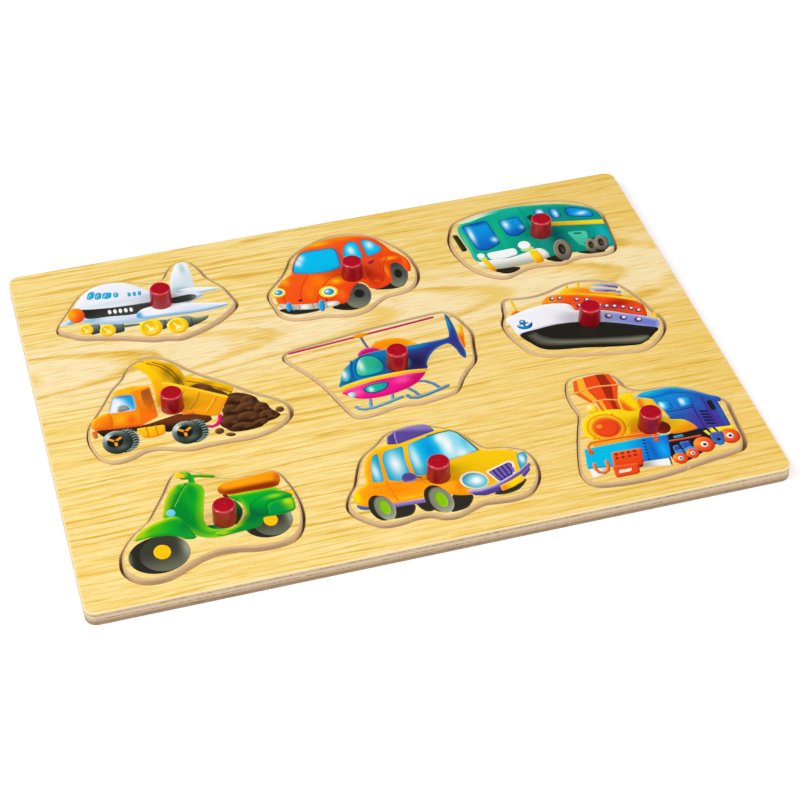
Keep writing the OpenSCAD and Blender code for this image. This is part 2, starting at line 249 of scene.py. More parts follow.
def cut_plies(paint, plies, seams):
    """Cut plywood: layers over the height in millimetres, with dark specks along its seams."""
    x, y, z = paint.place()
    highest, raggedness = plies[-1][0], 0.5
    height = paint.shifted(z, paint.noise((x, 9), (y, 9), z), raggedness)
    share = paint.math("DIVIDE", height, highest)
    layers = paint.ramp(share, [(at / highest, code) for at, code in plies])
    for seam in seams:
        away = paint.math("ABSOLUTE", paint.math("SUBTRACT", height, seam))
        dots = paint.noise((x, 1.3), (y, 1.3), seam, detail=3.0)
        specks = paint.step(dots, 0.46, 0.60, 0.10, 0.85)
        share = paint.times(paint.step(away, 0.10, 0.30, 1.0, 0.0), specks)
        layers = paint.blend(share, layers, "#7a6048")
    fibre = paint.noise((x, 0.9), (y, 0.9), (z, 0.16), detail=3.0, roughness=0.6)
    return paint.tinted(
        layers,
        (paint.step(fibre, 0.50, 0.72, 0.0, 0.34), "#a5866a"),
        (paint.step(fibre, 0.46, 0.28, 0.0, 0.40), "#f6e8d6"),
    )


def sawn_pale_with_painted_light(paint, outside):
    """The pockets' own walls are paler than the board's outer edge: partly the sawn wood's own
    paler colour, and partly painted light that lifts the shade in the narrow gaps.
    """
    x, y, _ = paint.place()
    rim, clear_rim, paler = 1.5, 3.0, 0.90
    in_x, in_y = (
        paint.step(paint.math("ABSOLUTE", across), half - clear_rim, half - rim, 1.0, 0.0)
        for across, half in ((x, HALF_LENGTH), (y, HALF_WIDTH))
    )
    return paint.blend(paint.times(paint.times(in_x, in_y), paler), outside, "#ffecbc")


def printed_wood(name, plies, rim, pockets=False, seams=()):
    """Plywood with a printed face and cut plies at its sides. A tile has its rim sanded bare."""
    paint = Paint(name)
    sanded = 1.3 * MM
    up = paint.facing_up()
    cut = cut_plies(paint, plies, seams)
    printed = paint.step(up, 0.94, 0.98)
    if pockets:
        # The pockets' walls are painted paler, partly as painted light that lifts their shade.
        cut = sawn_pale_with_painted_light(paint, cut)
    else:
        printed = paint.times(printed, paint.step(paint.worn(sanded), 0.955, 0.995))
    sides = paint.blend(paint.step(up, 0.10, 0.60), cut, rim)
    colour = paint.blend(printed, sides, printed_grain(paint))
    return paint.finish(colour, paint.step(up, 0.6, 0.98, 0.62, 0.36), specular=0.12)


def raw_board(name):
    """The thin dark back board, unprinted, with fine pressed fibres."""
    paint = Paint(name)
    x, y, z = paint.place()
    fibre = paint.noise((x, 2.4), (y, 0.8), z, detail=4.0, roughness=0.62)
    patches = paint.noise((x, 40), (y, 14))
    colour = paint.tinted(
        paint.ramp(patches, [(0.3, "#9e8465"), (0.7, "#aa8f70")]),
        (paint.step(fibre, 0.48, 0.74, 0.0, 0.55), "#735740"),
        (paint.step(fibre, 0.44, 0.24, 0.0, 0.40), "#bca182"),
    )
    paint.bump(fibre, 0.05 * MM, 0.6)
    return paint.finish(colour, 0.8, specular=0.25)


def knob_plastic(name):
    """Glossy red moulded plastic, slightly uneven in tone and polish, with painted shade on its
    sides and a painted highlight round its shoulder.
    """
    paint = Paint(name)
    x, y, z = paint.place()
    highlight_radius, soft_radius = 1.1 * MM, 1.3 * MM
    flow = paint.noise(x, y, z, scale=0.35)
    specks = paint.noise(x, y, z, scale=3.2, detail=3.0, roughness=0.7)
    # Painted highlight: a paler ring round the rounded shoulder, where the soft boxes would glint.
    painted_shoulder_highlight = paint.between(paint.worn(highlight_radius), (0.20, 0.55), (0.74, 0.96), 0.55)
    colour = paint.tinted(
        paint.ramp(flow, [(0.3, "#b0021c"), (0.7, "#ba0522")]),
        # Painted shade: the sides are painted darker than the top, as less light falls on them.
        (paint.step(paint.facing_up(), 0.2, 0.9, 0.6, 0.0), "#86000f"),
        (painted_shoulder_highlight, "#dc4050"),
        (paint.step(specks, 0.62, 0.80, 0.0, 0.30), "#8c0418"),
    )
    paint.bump(specks, 0.008 * MM, 0.3, soft=soft_radius)
    return paint.finish(colour, paint.step(specks, 0.35, 0.75, 0.24, 0.32), specular=0.62)


def picture_ink(name):
    """Printed ink: the picture's own colours, with the fine grain of the print over them."""
    paint = Paint(name)
    x, y, _ = paint.place()
    ink = paint.node("Attribute", attribute_name="ink").outputs["Color"]
    grain = paint.noise(x, y, scale=1.8, detail=3.0, roughness=0.7)
    colour = paint.blend(paint.step(grain, 0.30, 0.72, 0.0, 0.10), ink, "#ffffff", "MULTIPLY")
    paint.bump(grain, 0.01 * MM, 0.25)
    return paint.finish(colour, 0.34, specular=0.1)


def set_material(piece, material):
    piece.data.materials.clear()
    piece.data.materials.append(material)


def paired(values):
    """Points as rows of x and y, from numbers written one after another."""
    return np.array(values, float).reshape(-1, 2)


def smooth(*values, steps=6):
    """A closed curve through the given points."""
    here = paired(values)
    before, after, beyond = (np.roll(here, shift, axis=0) for shift in (1, -1, -2))
    curve = []
    for t in np.arange(steps) / steps:
        curve.append((
            2 * here + (after - before) * t
            + (2 * before - 5 * here + 4 * after - beyond) * t ** 2
            + (3 * here - before - 3 * after + beyond) * t ** 3
        ) / 2)
    return np.stack(curve, axis=1).reshape(-1, 2)


def rounded(radius, *values, steps=5):
    """A closed polygon through the given points, with round corners."""
    corners = paired(values)
    curve = []
    for corner, *others in zip(corners, np.roll(corners, 1, axis=0), np.roll(corners, -1, axis=0)):
        ends = []
        for other in others:
            side = other - corner
            length = np.linalg.norm(side)
            ends.append(corner + side / length * min(radius, length / 2.01))
        for t in np.arange(steps + 1) / steps:
            curve.append(ends[0] * (1 - t) ** 2 + corner * 2 * t * (1 - t) + ends[1] * t ** 2)
    return np.array(curve)


def oval(x, y, wide, high=None, tilt=0, steps=40):
    """An ellipse about x, y with its half axes, tilted by degrees."""
    turn, lean = np.arange(steps) * 2 * np.pi / steps, math.radians(tilt)
    across, up = wide * np.cos(turn), (high or wide) * np.sin(turn)
    return np.stack((
        x + across * math.cos(lean) - up * math.sin(lean),
        y + across * math.sin(lean) + up * math.cos(lean),
    ), axis=1)


def stroke(width, *values, steps=5):
    """A line of one width through the given points, with round ends."""
    points = paired(values)
    along = np.gradient(points, axis=0)
    along /= np.linalg.norm(along, axis=1)[:, None]
    side = np.stack((-along[:, 1], along[:, 0]), axis=1) * width / 2
    caps = []
    for end, out in ((points[-1], along[-1]), (points[0], -along[0])):
        across = np.array((out[1], -out[0])) * width / 2
        for turn in np.arange(1, steps) * np.pi / steps:
            caps.append(end + across * math.cos(turn) + out * width / 2 * math.sin(turn))
    return np.concatenate((
        points - side, caps[: steps - 1], (points + side)[::-1], caps[steps - 1 :]
    ))


def turned(loop):
    """The loop, counterclockwise."""
    ahead = np.roll(loop, -1, axis=0)
    area = (loop[:, 0] * ahead[:, 1] - loop[:, 1] * ahead[:, 0]).sum()
    return loop if area > 0 else loop[::-1]


def edge_of(loop, points):
    """How far each point is inside the loop, and which way the nearest edge faces."""
    nearest = np.full(len(points), np.inf)
    facing = np.zeros((len(points), 2))
    for start, end in zip(loop, np.roll(loop, -1, axis=0)):
        side = end - start
        length = np.linalg.norm(side)
        if length == 0:
            continue
        share = np.clip((points - start) @ side / length ** 2, 0, 1)
        gap = np.linalg.norm(points - start - share[:, None] * side, axis=1)
        closer = gap < nearest
        nearest[closer] = gap[closer]
        facing[closer] = np.array((side[1], -side[0])) / length
    return nearest, facing


def mixed(colours, code, share):
    return colours + (shown(code) - colours) * share[:, None]


class Picture:
    """Inks printed one over another on a tile, in hundredths of its length from its lower left."""

    LIGHT_FROM = np.array((-0.5, 0.87))

    def __init__(self, vehicle):
        self.vehicle = vehicle
        low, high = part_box(vehicle + "_tile")
        self.corner = np.array(low.xy)
        self.top = high.z
        self.unit = (high.x - low.x) / 100
        self.inks = []

    def lay(self, loop, colour, puff=None, fade=None, glows=()):
        """An ink. Its puff (light, dark, width) is an edge lit from the upper left, its fade
        (colour, x, y, x, y) goes from its own colour at the first point to the other at the
        second, and each of its glows is (x, y, wide, high, colour)."""
        self.inks.append((turned(loop), colour, puff, fade, glows))

    def shades(self, ink, points):
        """The ink's own colour at each of the points."""
        loop, code, puff, fade, glows = ink
        colours = np.tile(shown(code), (len(points), 1))
        if fade:
            start, end = np.array(fade[1:3]), np.array(fade[3:5])
            along = end - start
            share = np.clip((points - start) @ along / (along @ along), 0, 1)
            colours = mixed(colours, fade[0], share * share * (3 - 2 * share))
        if puff:
            gap, facing = edge_of(loop, points)
            near = np.clip(1 - gap / puff[2], 0, 1)
            towards = facing @ self.LIGHT_FROM
            for other, side in ((puff[0], towards), (puff[1], -towards)):
                colours = mixed(colours, other, near * np.clip(0.35 + 0.65 * side, 0, 1))
        for x, y, wide, high, other in glows:
            far = ((points[:, 0] - x) / wide) ** 2 + ((points[:, 1] - y) / high) ** 2
            colours = mixed(colours, other, np.exp(-far))
        return colours

    def print(self, material):
        """A thin skin on the tile, cut along every edge of the inks, with a colour per corner."""
        loops = [ink[0] for ink in self.inks]
        starts = np.cumsum([0] + [len(loop) for loop in loops])
        faces = [list(range(start, start + len(loop))) for start, loop in zip(starts, loops)]
        edges = np.concatenate(loops)
        low, high = edges.min(axis=0), edges.max(axis=0)
        spread = np.mgrid[low[0] : high[0] : DOT, low[1] : high[1] : DOT].reshape(2, -1).T
        spread[:, 0] += DOT / 2 * (np.round((spread[:, 1] - low[1]) / DOT) % 2)
        points = [Vector(point) for point in np.concatenate((edges, spread))]
        cut = delaunay_2d_cdt(points, [], faces, 1, 1e-5)
        verts = np.array([tuple(vert) for vert in cut[0]])
        kept = [(face, max(inks)) for face, inks in zip(cut[2], cut[5]) if inks]
        triangles = np.array([face for face, _ in kept])
        tops = np.array([top for _, top in kept])
        colours = np.ones((len(kept), 3, 4))
        for at, ink in enumerate(self.inks):
            mine = tops == at
            if mine.any():
                places = verts[triangles[mine]].reshape(-1, 2)
                colours[mine, :, :3] = self.shades(ink, places).reshape(-1, 3, 3)
        colours[..., :3] = lit(colours[..., :3])
        used, triangles = np.unique(triangles, return_inverse=True)
        flat = self.corner + verts[used] * self.unit
        mesh = bpy.data.meshes.new(self.vehicle + "_print")
        corners = [(x, y, self.top + PRINT_TOP) for x, y in flat]
        mesh.from_pydata(corners, [], triangles.reshape(-1, 3).tolist())
        ink = mesh.color_attributes.new("ink", "FLOAT_COLOR", "CORNER")
        ink.data.foreach_set("color", colours.ravel())
        piece = bpy.data.objects.new(mesh.name, mesh)
        bpy.context.scene.collection.objects.link(piece)
        depth = piece.modifiers.new("depth", "SOLIDIFY")
        depth.thickness = PRINT_DEPTH
        depth.offset = -1
        set_material(piece, material)
        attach(piece, self.vehicle + "_piece")


def draw_plane(lay):
    """An airliner that faces left, with four engines."""
    lay(smooth(56, 16, 70, 17.4, 76, 14, 82, 14.2, 82.4, 12.4, 78, 9.4, 70, 8), "#7c897c",
        ("#aab6a8", "#343c36", 1.4), fade=("#3c443e", 74, 15, 73, 8))
    lay(smooth(34, 19, 44, 18, 44, 16.6, 34, 17), "#5d6a66")
    for x, y in ((20, 20), (33, 17.4), (56, 13.4), (70.4, 11)):
        lay(rounded(1.5, x - 3, y + 5, x - 3, y - 4.6, x + 2.6, y - 4, x + 3.2, y + 4), "#6f7d74",
            ("#9aaa9e", "#2c332f", 1.2), fade=("#333b36", x, y + 3, x, y - 4))
    for x, y, size in ((15.2, 20.8, 4.1), (26.6, 17, 4.7), (50, 12.8, 7), (64.8, 10.2, 6.2)):
        lay(oval(x, y, size * 0.95, size * 1.12), "#fdd810", ("#fff06a", "#e69c08", size * 0.4))
        lay(oval(x - size * 0.1, y, size * 0.62, size * 0.78), "#f5c60a",
            ("#e0a408", "#fff08a", size * 0.22))
        lay(stroke(size * 0.16, x - size * 0.3, y + size * 0.4, x - size * 0.05, y - size * 0.1,
            x - size * 0.2, y - size * 0.5), "#fff6b4", ("#fffbe0", "#f0d030", size * 0.07))
        lay(oval(x + size * 0.1, y - size * 0.3, size * 0.2, size * 0.26), "#fff3a4",
            ("#fffbe0", "#e8b80c", size * 0.12))
    lay(smooth(1.5, 29.4, 6, 32.2, 12, 33, 18, 31, 12, 28.4, 5, 28), "#d8e8f2",
        fade=("#58a4cc", 6, 31, 8, 28.4))
    lay(rounded(3, 66.5, 40, 68.5, 53, 72, 61.5, 75, 66.4, 80.2, 66.4, 81.2, 60, 80.4, 40),
        "#f4f5f9", ("#ffffff", "#dbe8ee", 1.4), fade=("#d4e2e8", 72, 60, 80, 50),
        glows=[(77, 60, 1.6, 5.4, "#b4d0d8"), (72, 42, 4, 2, "#9cc4d2")])
    lay(smooth(69, 38.4, 72, 41.3, 80, 41.4, 88, 39.4, 93.5, 37, 91, 35.6, 80, 35.4, 73, 36.8),
        "#f2f6fb", ("#ffffff", "#7ab2d0", 2.2), glows=[(71, 39.4, 2, 1, "#5f8ca4")])
    lay(smooth(9, 33, 10, 39, 13.5, 46, 19, 53, 25, 57.4, 32, 58.8, 40, 57.6, 47, 53.6, 54, 46.8,
        61, 42, 70, 39.6, 79, 37, 84, 33.4, 76, 29, 64, 24, 52, 20, 40, 19.4, 28, 22, 17, 26.4,
        10.5, 30), "#f0f0f8", ("#fbfbfe", "#86b4d6", 4), fade=("#d8e2f0", 33, 46, 38, 22),
        glows=[(60, 40, 9, 4, "#cfe2ec"), (19, 28.4, 6, 1.8, "#8fbedc"), (30, 40, 14, 2, "#d5e4ee"),
        (40, 22, 6, 2, "#b8cce2")])
    lay(smooth(14.4, 38.8, 22, 37.8, 34, 36.2, 48, 35.4, 64, 35.4, 76, 35.8, 80, 33.4, 76, 30,
        62, 29.6, 44, 27, 30, 28.8, 17, 30.6), "#26261f", fade=("#3c3c34", 20, 38, 24, 28),
        glows=[(79, 33, 2.6, 2.4, "#6c7470"), (52, 34.8, 9, 0.8, "#55564c")])
    for at in range(5):
        lay(oval(30.3 + at * 3, 32.7 - at * 0.32, 1, 2), "#f6f8f8", ("#ffffff", "#b8c4c8", 0.6))
    for loop in (
        (19.6, 47.8, 21.2, 52.8, 23.8, 54.2, 25.2, 52.6, 23.8, 48, 21.6, 46.8),
        (24, 46.6, 25, 51, 26.6, 52.2, 28.8, 51.2, 27.8, 46.4, 25.6, 45.6),
        (28.2, 46, 29.2, 50.4, 31, 51, 34.2, 50, 33.6, 45.8, 31, 44.8),
        (34.6, 45.6, 35, 48.9, 36.6, 49.8, 38, 48.8, 37.6, 45.4, 36, 44.7),
    ):
        x, y = min(loop[0::2]), min(loop[1::2])
        lay(rounded(0.9, *loop), "#27aede", ("#1284bc", "#0f7ab4", 0.7))
        lay(stroke(0.5, x + 1, y + 2, x + 2.6, y + 4.4), "#a4e0f2")
    for at in range(3):
        x, y = 42.6 + at * 2.9, 43.6 - at * 0.3
        lay(rounded(0.5, x, y, x + 1.8, y - 0.1, x + 2.1, y + 3.5, x + 0.3, y + 3.7), "#2cb0de",
            ("#1284bc", "#1284bc", 0.5))
    lay(oval(11.8, 35, 4.6, 6.7), "#fb7e10", ("#ffa50c", "#e2401c", 1.8),
        fade=("#ee4a1c", 10, 36, 16, 32), glows=[(9.2, 36.6, 2, 3.4, "#ffb010")])
    lay(smooth(43.6, 24.4, 46, 28.6, 51, 30.8, 60, 31, 72, 28.8, 84, 25.6, 95.4, 22, 93, 19.6,
        82, 18.6, 69, 19.1, 56, 20.4, 47, 21.8), "#f0f4fb", ("#fbfdff", "#4a9cc8", 3),
        fade=("#dfe6f4", 66, 28, 68, 21), glows=[(45.6, 25, 1.8, 3.4, "#46a0d0"),
        (60, 20.6, 10, 1.2, "#78b6d8")])


def draw_car(lay):
    """A small round-roofed car that faces left and towards the viewer."""
    lay(smooth(4.4, 18, 7, 13, 13, 10, 22, 9.2, 29, 10.4, 22, 15), "#26241c",
        ("#26241c", "#6a6654", 1))
    lay(smooth(37.6, 11, 42, 6.4, 50, 4.2, 56, 6, 54, 14), "#24241e")
    lay(smooth(69, 21.4, 74, 19, 82, 18, 88, 20, 84, 26), "#24241e")
    for x, y, wide, high, hub_x, hub_y in (
        (86.8, 32, 6.9, 13.6, 87.4, 32.8), (56, 17.8, 8.8, 13.2, 57.4, 19.6),
    ):
        lay(oval(x, y, wide, high, -12), "#4e5352", ("#5c6262", "#6e6e5a", 1.2),
            fade=("#7f7f68", x + 2, y + 2, x - 3, y - high),
            glows=[(x, y + high * 0.8, wide * 0.7, 3, "#3a3f42")])
        lay(oval(hub_x, hub_y, wide * 0.39, high * 0.35, -8), "#201f19",
            ("#3a3b32", "#34352c", 0.7))
    lay(smooth(4.4, 24, 4.4, 33, 7.5, 41, 12.4, 46.8, 17, 50.6, 19.8, 53, 22.2, 60.4, 26, 68,
        30.6, 74.4, 37, 78.8, 46, 81.8, 55, 83, 64, 82.6, 73, 80, 80.6, 75.6, 86, 67.4, 89.4, 58.6,
        93.6, 53.4, 97, 46.6, 97.6, 39, 95.8, 33.2, 93.4, 34.4, 92, 41, 88.2, 45.2, 84.8, 42.6,
        83.2, 35, 81.4, 27, 77.4, 22.8, 71, 20.8, 66.4, 22.6, 64.2, 28, 61, 31, 56.6, 28.6,
        52.6, 23, 49.6, 16.4, 45, 12.4, 38, 14, 24, 15.6, 9, 19.6), "#fa5a18",
        ("#fd8c10", "#e23c10", 2.6), fade=("#ee4416", 30, 66, 66, 30),
        glows=[(44, 79, 8, 2.6, "#ffb608"), (62, 81, 10, 2.4, "#fd8408"),
        (35, 40, 6.4, 9, "#ff7c08"), (26.6, 30, 3.6, 8, "#ff7408"), (13.6, 45, 2.6, 4, "#ffa80c"),
        (46.6, 37, 4.6, 3.8, "#ffb808"), (86.4, 50.4, 5, 1.8, "#ffb40c"),
        (80.8, 38, 1.4, 7, "#fd8c14"), (70.6, 33, 3, 8, "#d02c12"), (55.4, 62, 0.9, 8, "#c8402c"),
        (46, 22, 3, 6, "#fc6c14"), (95, 44, 1.4, 6, "#fb6c14"), (86, 60, 2, 5, "#f4580f")])
    for points in (
        (19.6, 23, 20.4, 30, 23.4, 38, 29.8, 48),
        (28.6, 19.8, 33.4, 28, 38, 36, 43.6, 41, 51, 43.6), (9.8, 24, 9, 28, 9.6, 32),
        (65.4, 24, 67.6, 30.6, 65.6, 36), (79, 30, 78.8, 38, 81, 46, 84.6, 51.6),
    ):
        lay(stroke(0.8, *points), "#da3c12", ("#e04c14", "#c8300e", 0.4))
    lay(stroke(0.7, 35.6, 22, 35.4, 18), "#9c2a14")
    lay(rounded(2.6, 66.8, 53.6, 76.4, 54.4, 78.6, 48, 78.6, 36, 76.6, 27, 69, 25.6, 66.4, 32),
        "#f0481a", ("#f96a20", "#d0380f", 0.9), fade=("#cc2c12", 74, 44, 68, 36),
        glows=[(72, 29, 3, 2, "#ee4a1c")])
    for loop, glints in (
        ((20.2, 52.6, 22.6, 60.6, 26.6, 67.6, 31.4, 73.8, 53.6, 72.8, 54.8, 66, 53.4, 50.4,
         45, 47.4, 33, 48.4), ((26.6, 62.4, 2.6, 4, "#e4f2f6"), (29.4, 67, 2.6, 3.6, "#d4ecf4"))),
        ((56.8, 54, 58, 66, 60.6, 72.6, 65, 76.4, 69.8, 74, 69.8, 54.6),
         ((63.8, 66, 2.6, 5, "#e8f4f6"),)),
        ((72.6, 55.6, 72.2, 75.4, 76.6, 75, 80.8, 70.4, 84, 63.6, 83.2, 59.4),
         ((77, 68.2, 2.7, 4.4, "#e4f2f6"),)),
    ):
        lay(rounded(3.4, *loop), "#3c4c9c", ("#5a3c88", "#5a6088", 0.8))
        inner = rounded(3, *loop)
        middle = inner.mean(axis=0)
        lay(middle + (inner - middle) * 0.955, "#04bef0", ("#0c84cc", "#0e8aba", 1.3), glows=glints)
    lay(smooth(71.2, 48.6, 72.4, 50.6, 75.4, 51.6, 75.8, 50.4, 73.6, 48.4), "#86204e")
    lay(oval(18.9, 23.4, 1.4), "#8f1230")
    lay(smooth(4.2, 22, 6, 23.4, 13, 20.6, 22, 18.6, 31, 17.2, 40, 16.6, 42.8, 14.4, 41, 11.8,
        32, 11.4, 22, 12.8, 12, 15.6, 6, 18.6), "#b8b7a6", ("#dcdbd0", "#9a9988", 1),
        glows=[(20, 16, 3.2, 3, "#fbfaf6"), (37, 14.4, 3.6, 2.4, "#fdfcfa"),
        (7.4, 20.4, 2, 2, "#d8d8cc")])
    for x in (12.6, 16.6, 25.4, 28.6, 34.2):
        lay(stroke(0.6, x, 20.4 - x * 0.1, x, 15.6 - x * 0.12), "#8e8e7e")
    for x, y, wide, high in ((10.2, 19, 1.9, 4.9), (31, 14.4, 2.2, 6)):
        lay(oval(x, y, wide, high, -9), "#1f9ed8", ("#7ad0f0", "#0a5c98", 1.4))
    for x, y, size in ((6.8, 35.4, 4.8), (38.6, 27, 6)):
        lay(oval(x, y, size * 1.04, size), "#f8d818", ("#fae830", "#f0b80c", 0.8))
        lay(oval(x + 0.2, y + 0.2, size * 0.78), "#fbf6cc", ("#f8f0a0", "#fdf8dc", 0.8))
        lay(oval(x + 0.3, y + 0.1, size * 0.58), "#1f98b8", ("#6cc0d0", "#0c7aa0", 0.9),
            glows=[(x - size * 0.14, y + size * 0.14, size * 0.26, size * 0.28, "#f8fcfc")])


def draw_bus(lay):
    """A coach that faces left and towards the viewer."""
    lay(smooth(17, 9, 24, 3, 31, 3.6, 34, 6.6, 26, 9), "#29241c")
    lay(smooth(52, 10.4, 57, 5.6, 62, 5.4, 64, 12), "#29241c")
    lay(smooth(73, 11.4, 78, 7.6, 82, 7, 88, 6.6, 90, 9, 88, 13), "#29241c")
    lay(rounded(2, 3.4, 49.8, 6.8, 49, 8.6, 32, 4.8, 31), "#2f2d1c", ("#7c7a52", "#15140f", 1.4))
    lay(smooth(10.6, 20, 9.4, 32, 8, 45, 8.6, 55, 13.6, 60.2, 24, 63.8, 36, 66.8, 48, 67.4,
        60, 65.8, 74, 63, 86, 58.4, 95, 52.4, 98.8, 44, 98.8, 30, 97.4, 16, 95.6, 10.8, 82, 10.4,
        68, 11.6, 56, 11.6, 40, 14, 24, 17), "#0aaa8c", ("#5fd0b4", "#087a70", 2.4),
        fade=("#07917c", 34, 50, 62, 30), glows=[(32.4, 44, 1.8, 18, "#14b87e"),
        (10, 40, 1.4, 12, "#56c8a8"), (66, 26, 5, 16, "#06565c"), (94, 24, 5, 14, "#0eb0b8"),
        (46, 63, 7, 2.4, "#10b49a"), (80, 61, 9, 1.6, "#12a892"), (70, 44, 7, 8, "#0a9a84")])
    lay(stroke(0.7, 52, 66, 53, 58, 52.6, 46, 51.6, 30, 52, 20), "#0a7f6e")
    lay(smooth(11, 59.4, 18, 62.6, 28, 65, 38, 66.2, 37, 64, 28, 62.6, 18, 59.8), "#cdeee2",
        fade=("#3fc4a6", 24, 63, 38, 65))
    lay(rounded(2, 73, 32.4, 84.6, 30.6, 84.6, 26, 79.6, 14.8, 76, 18), "#4fc8a6",
        fade=("#36bb9c", 80, 30, 78, 16))
    lay(stroke(1.9, 77.2, 29.6, 80.4, 29), "#067a6c")
    lay(rounded(1, 53.6, 54.6, 57.6, 56.4, 59, 52, 55, 49.6), "#173a30")
    for loop, shade, glints in (
        ((11.6, 56.8, 28.6, 58.8, 30.4, 33, 20, 28.2, 14, 30.4), (20, 52, 22, 29),
         ((15.2, 46, 1.6, 8.4, "#e6f6fd"), (27.6, 37.8, 2.2, 2.6, "#c8ecfa"),
         (21, 57, 8, 2.4, "#0b4fa4"))),
        ((35, 55.6, 48.8, 57.4, 50.2, 42, 42.4, 36.6, 36.4, 39), (42, 50, 43, 38),
         ((38.8, 50.4, 2.1, 4.4, "#e6f6fd"), (47.8, 45.4, 1.7, 2, "#a8dcf4"))),
        ((59.6, 60.6, 66.6, 60.2, 67, 48, 60, 49), (62, 50, 64, 46),
         ((63.4, 57, 2.2, 3.4, "#eaf8fe"),)),
        ((69.2, 59.4, 75, 58, 75.6, 49, 72, 47, 68.6, 48.6), (72, 54, 73, 46),
         ((72.4, 52.8, 1.5, 4, "#e6f6fd"),)),
        ((79, 57, 86, 56, 92, 52.4, 95.6, 47, 94.6, 42.4, 78.4, 47.6), (84, 50, 76, 50),
         ((88.4, 48.8, 3.6, 1.9, "#dff3fc"),)),
    ):
        lay(rounded(3, *loop), "#0c96e2", ("#12246c", "#14246c", 1.5), fade=("#0e62be", *shade),
            glows=glints)
    lay(rounded(0.6, 54, 46.4, 68, 44.8, 98.8, 38.4, 98.6, 33.8, 68, 40.8, 54, 42.4), "#f8dc12",
        ("#fbe65a", "#dba80c", 1), fade=("#f4b41a", 96, 36, 64, 44))
    lay(smooth(11.6, 18, 20, 18.6, 31, 17.4, 42, 19.6, 51, 21.6, 54.8, 17, 54, 11.6, 44, 8.8,
        28, 8.2, 18, 9.4, 12.4, 12.6), "#f0efea", ("#ffffff", "#a8a592", 1.8),
        fade=("#b4b09c", 34, 17, 34, 9))
    lay(rounded(2.6, 18.4, 25.8, 37.2, 26.2, 37.2, 19.2, 27, 17.6, 19, 18.8), "#f6f8f8",
        ("#ffffff", "#c4dcd2", 1.3))
    for x, y, wide, high in ((14.8, 21.4, 2.6, 1.8), (44, 22.8, 4.2, 2.4)):
        lay(oval(x, y, wide, high), "#cfdc62", fade=("#9adcb4", x, y, x - wide, y))
    for loop in (
        (13.4, 20.6, 17.2, 20.4, 18.4, 14, 20, 8, 17.4, 6.8, 15, 12),
        (44.4, 20.8, 49.2, 20.6, 50.6, 14, 49.8, 7.6, 44.6, 7.6, 44.2, 14),
    ):
        x = loop[0]
        lay(rounded(1.2, *loop), "#fbd40c", ("#fdec66", "#c8720c", 1),
            fade=("#f28a0e", x, 14, x + 3, 7))
    lay(oval(14.6, 24.2, 2.4, 2.6), "#f8faf8", ("#ffffff", "#d0e4d8", 0.9))
    lay(oval(43.4, 27, 3.9, 4.2), "#f8faf8", ("#ffffff", "#c0e0d2", 1.3))
    lay(smooth(80, 17, 82.6, 21.4, 88, 22.8, 93, 23, 94, 17), "#0b6a5c")
    for x, y, wide, high in ((83.2, 15, 3.9, 7), (90, 15.8, 4.4, 7.6), (64.6, 15.8, 5.5, 10.6)):
        lay(oval(x, y, wide, high, -10), "#857a66", ("#a89c86", "#3f3a30", 1.4),
            fade=("#5d5546", x, y, x + 1, y - high))
        lay(oval(x - 0.2, y + high * 0.06, wide * 0.42, high * 0.52, -10), "#241f1a",
            ("#15120f", "#5f5648", 0.7), glows=[(x, y, 0.6, high * 0.26, "#6a6252")])


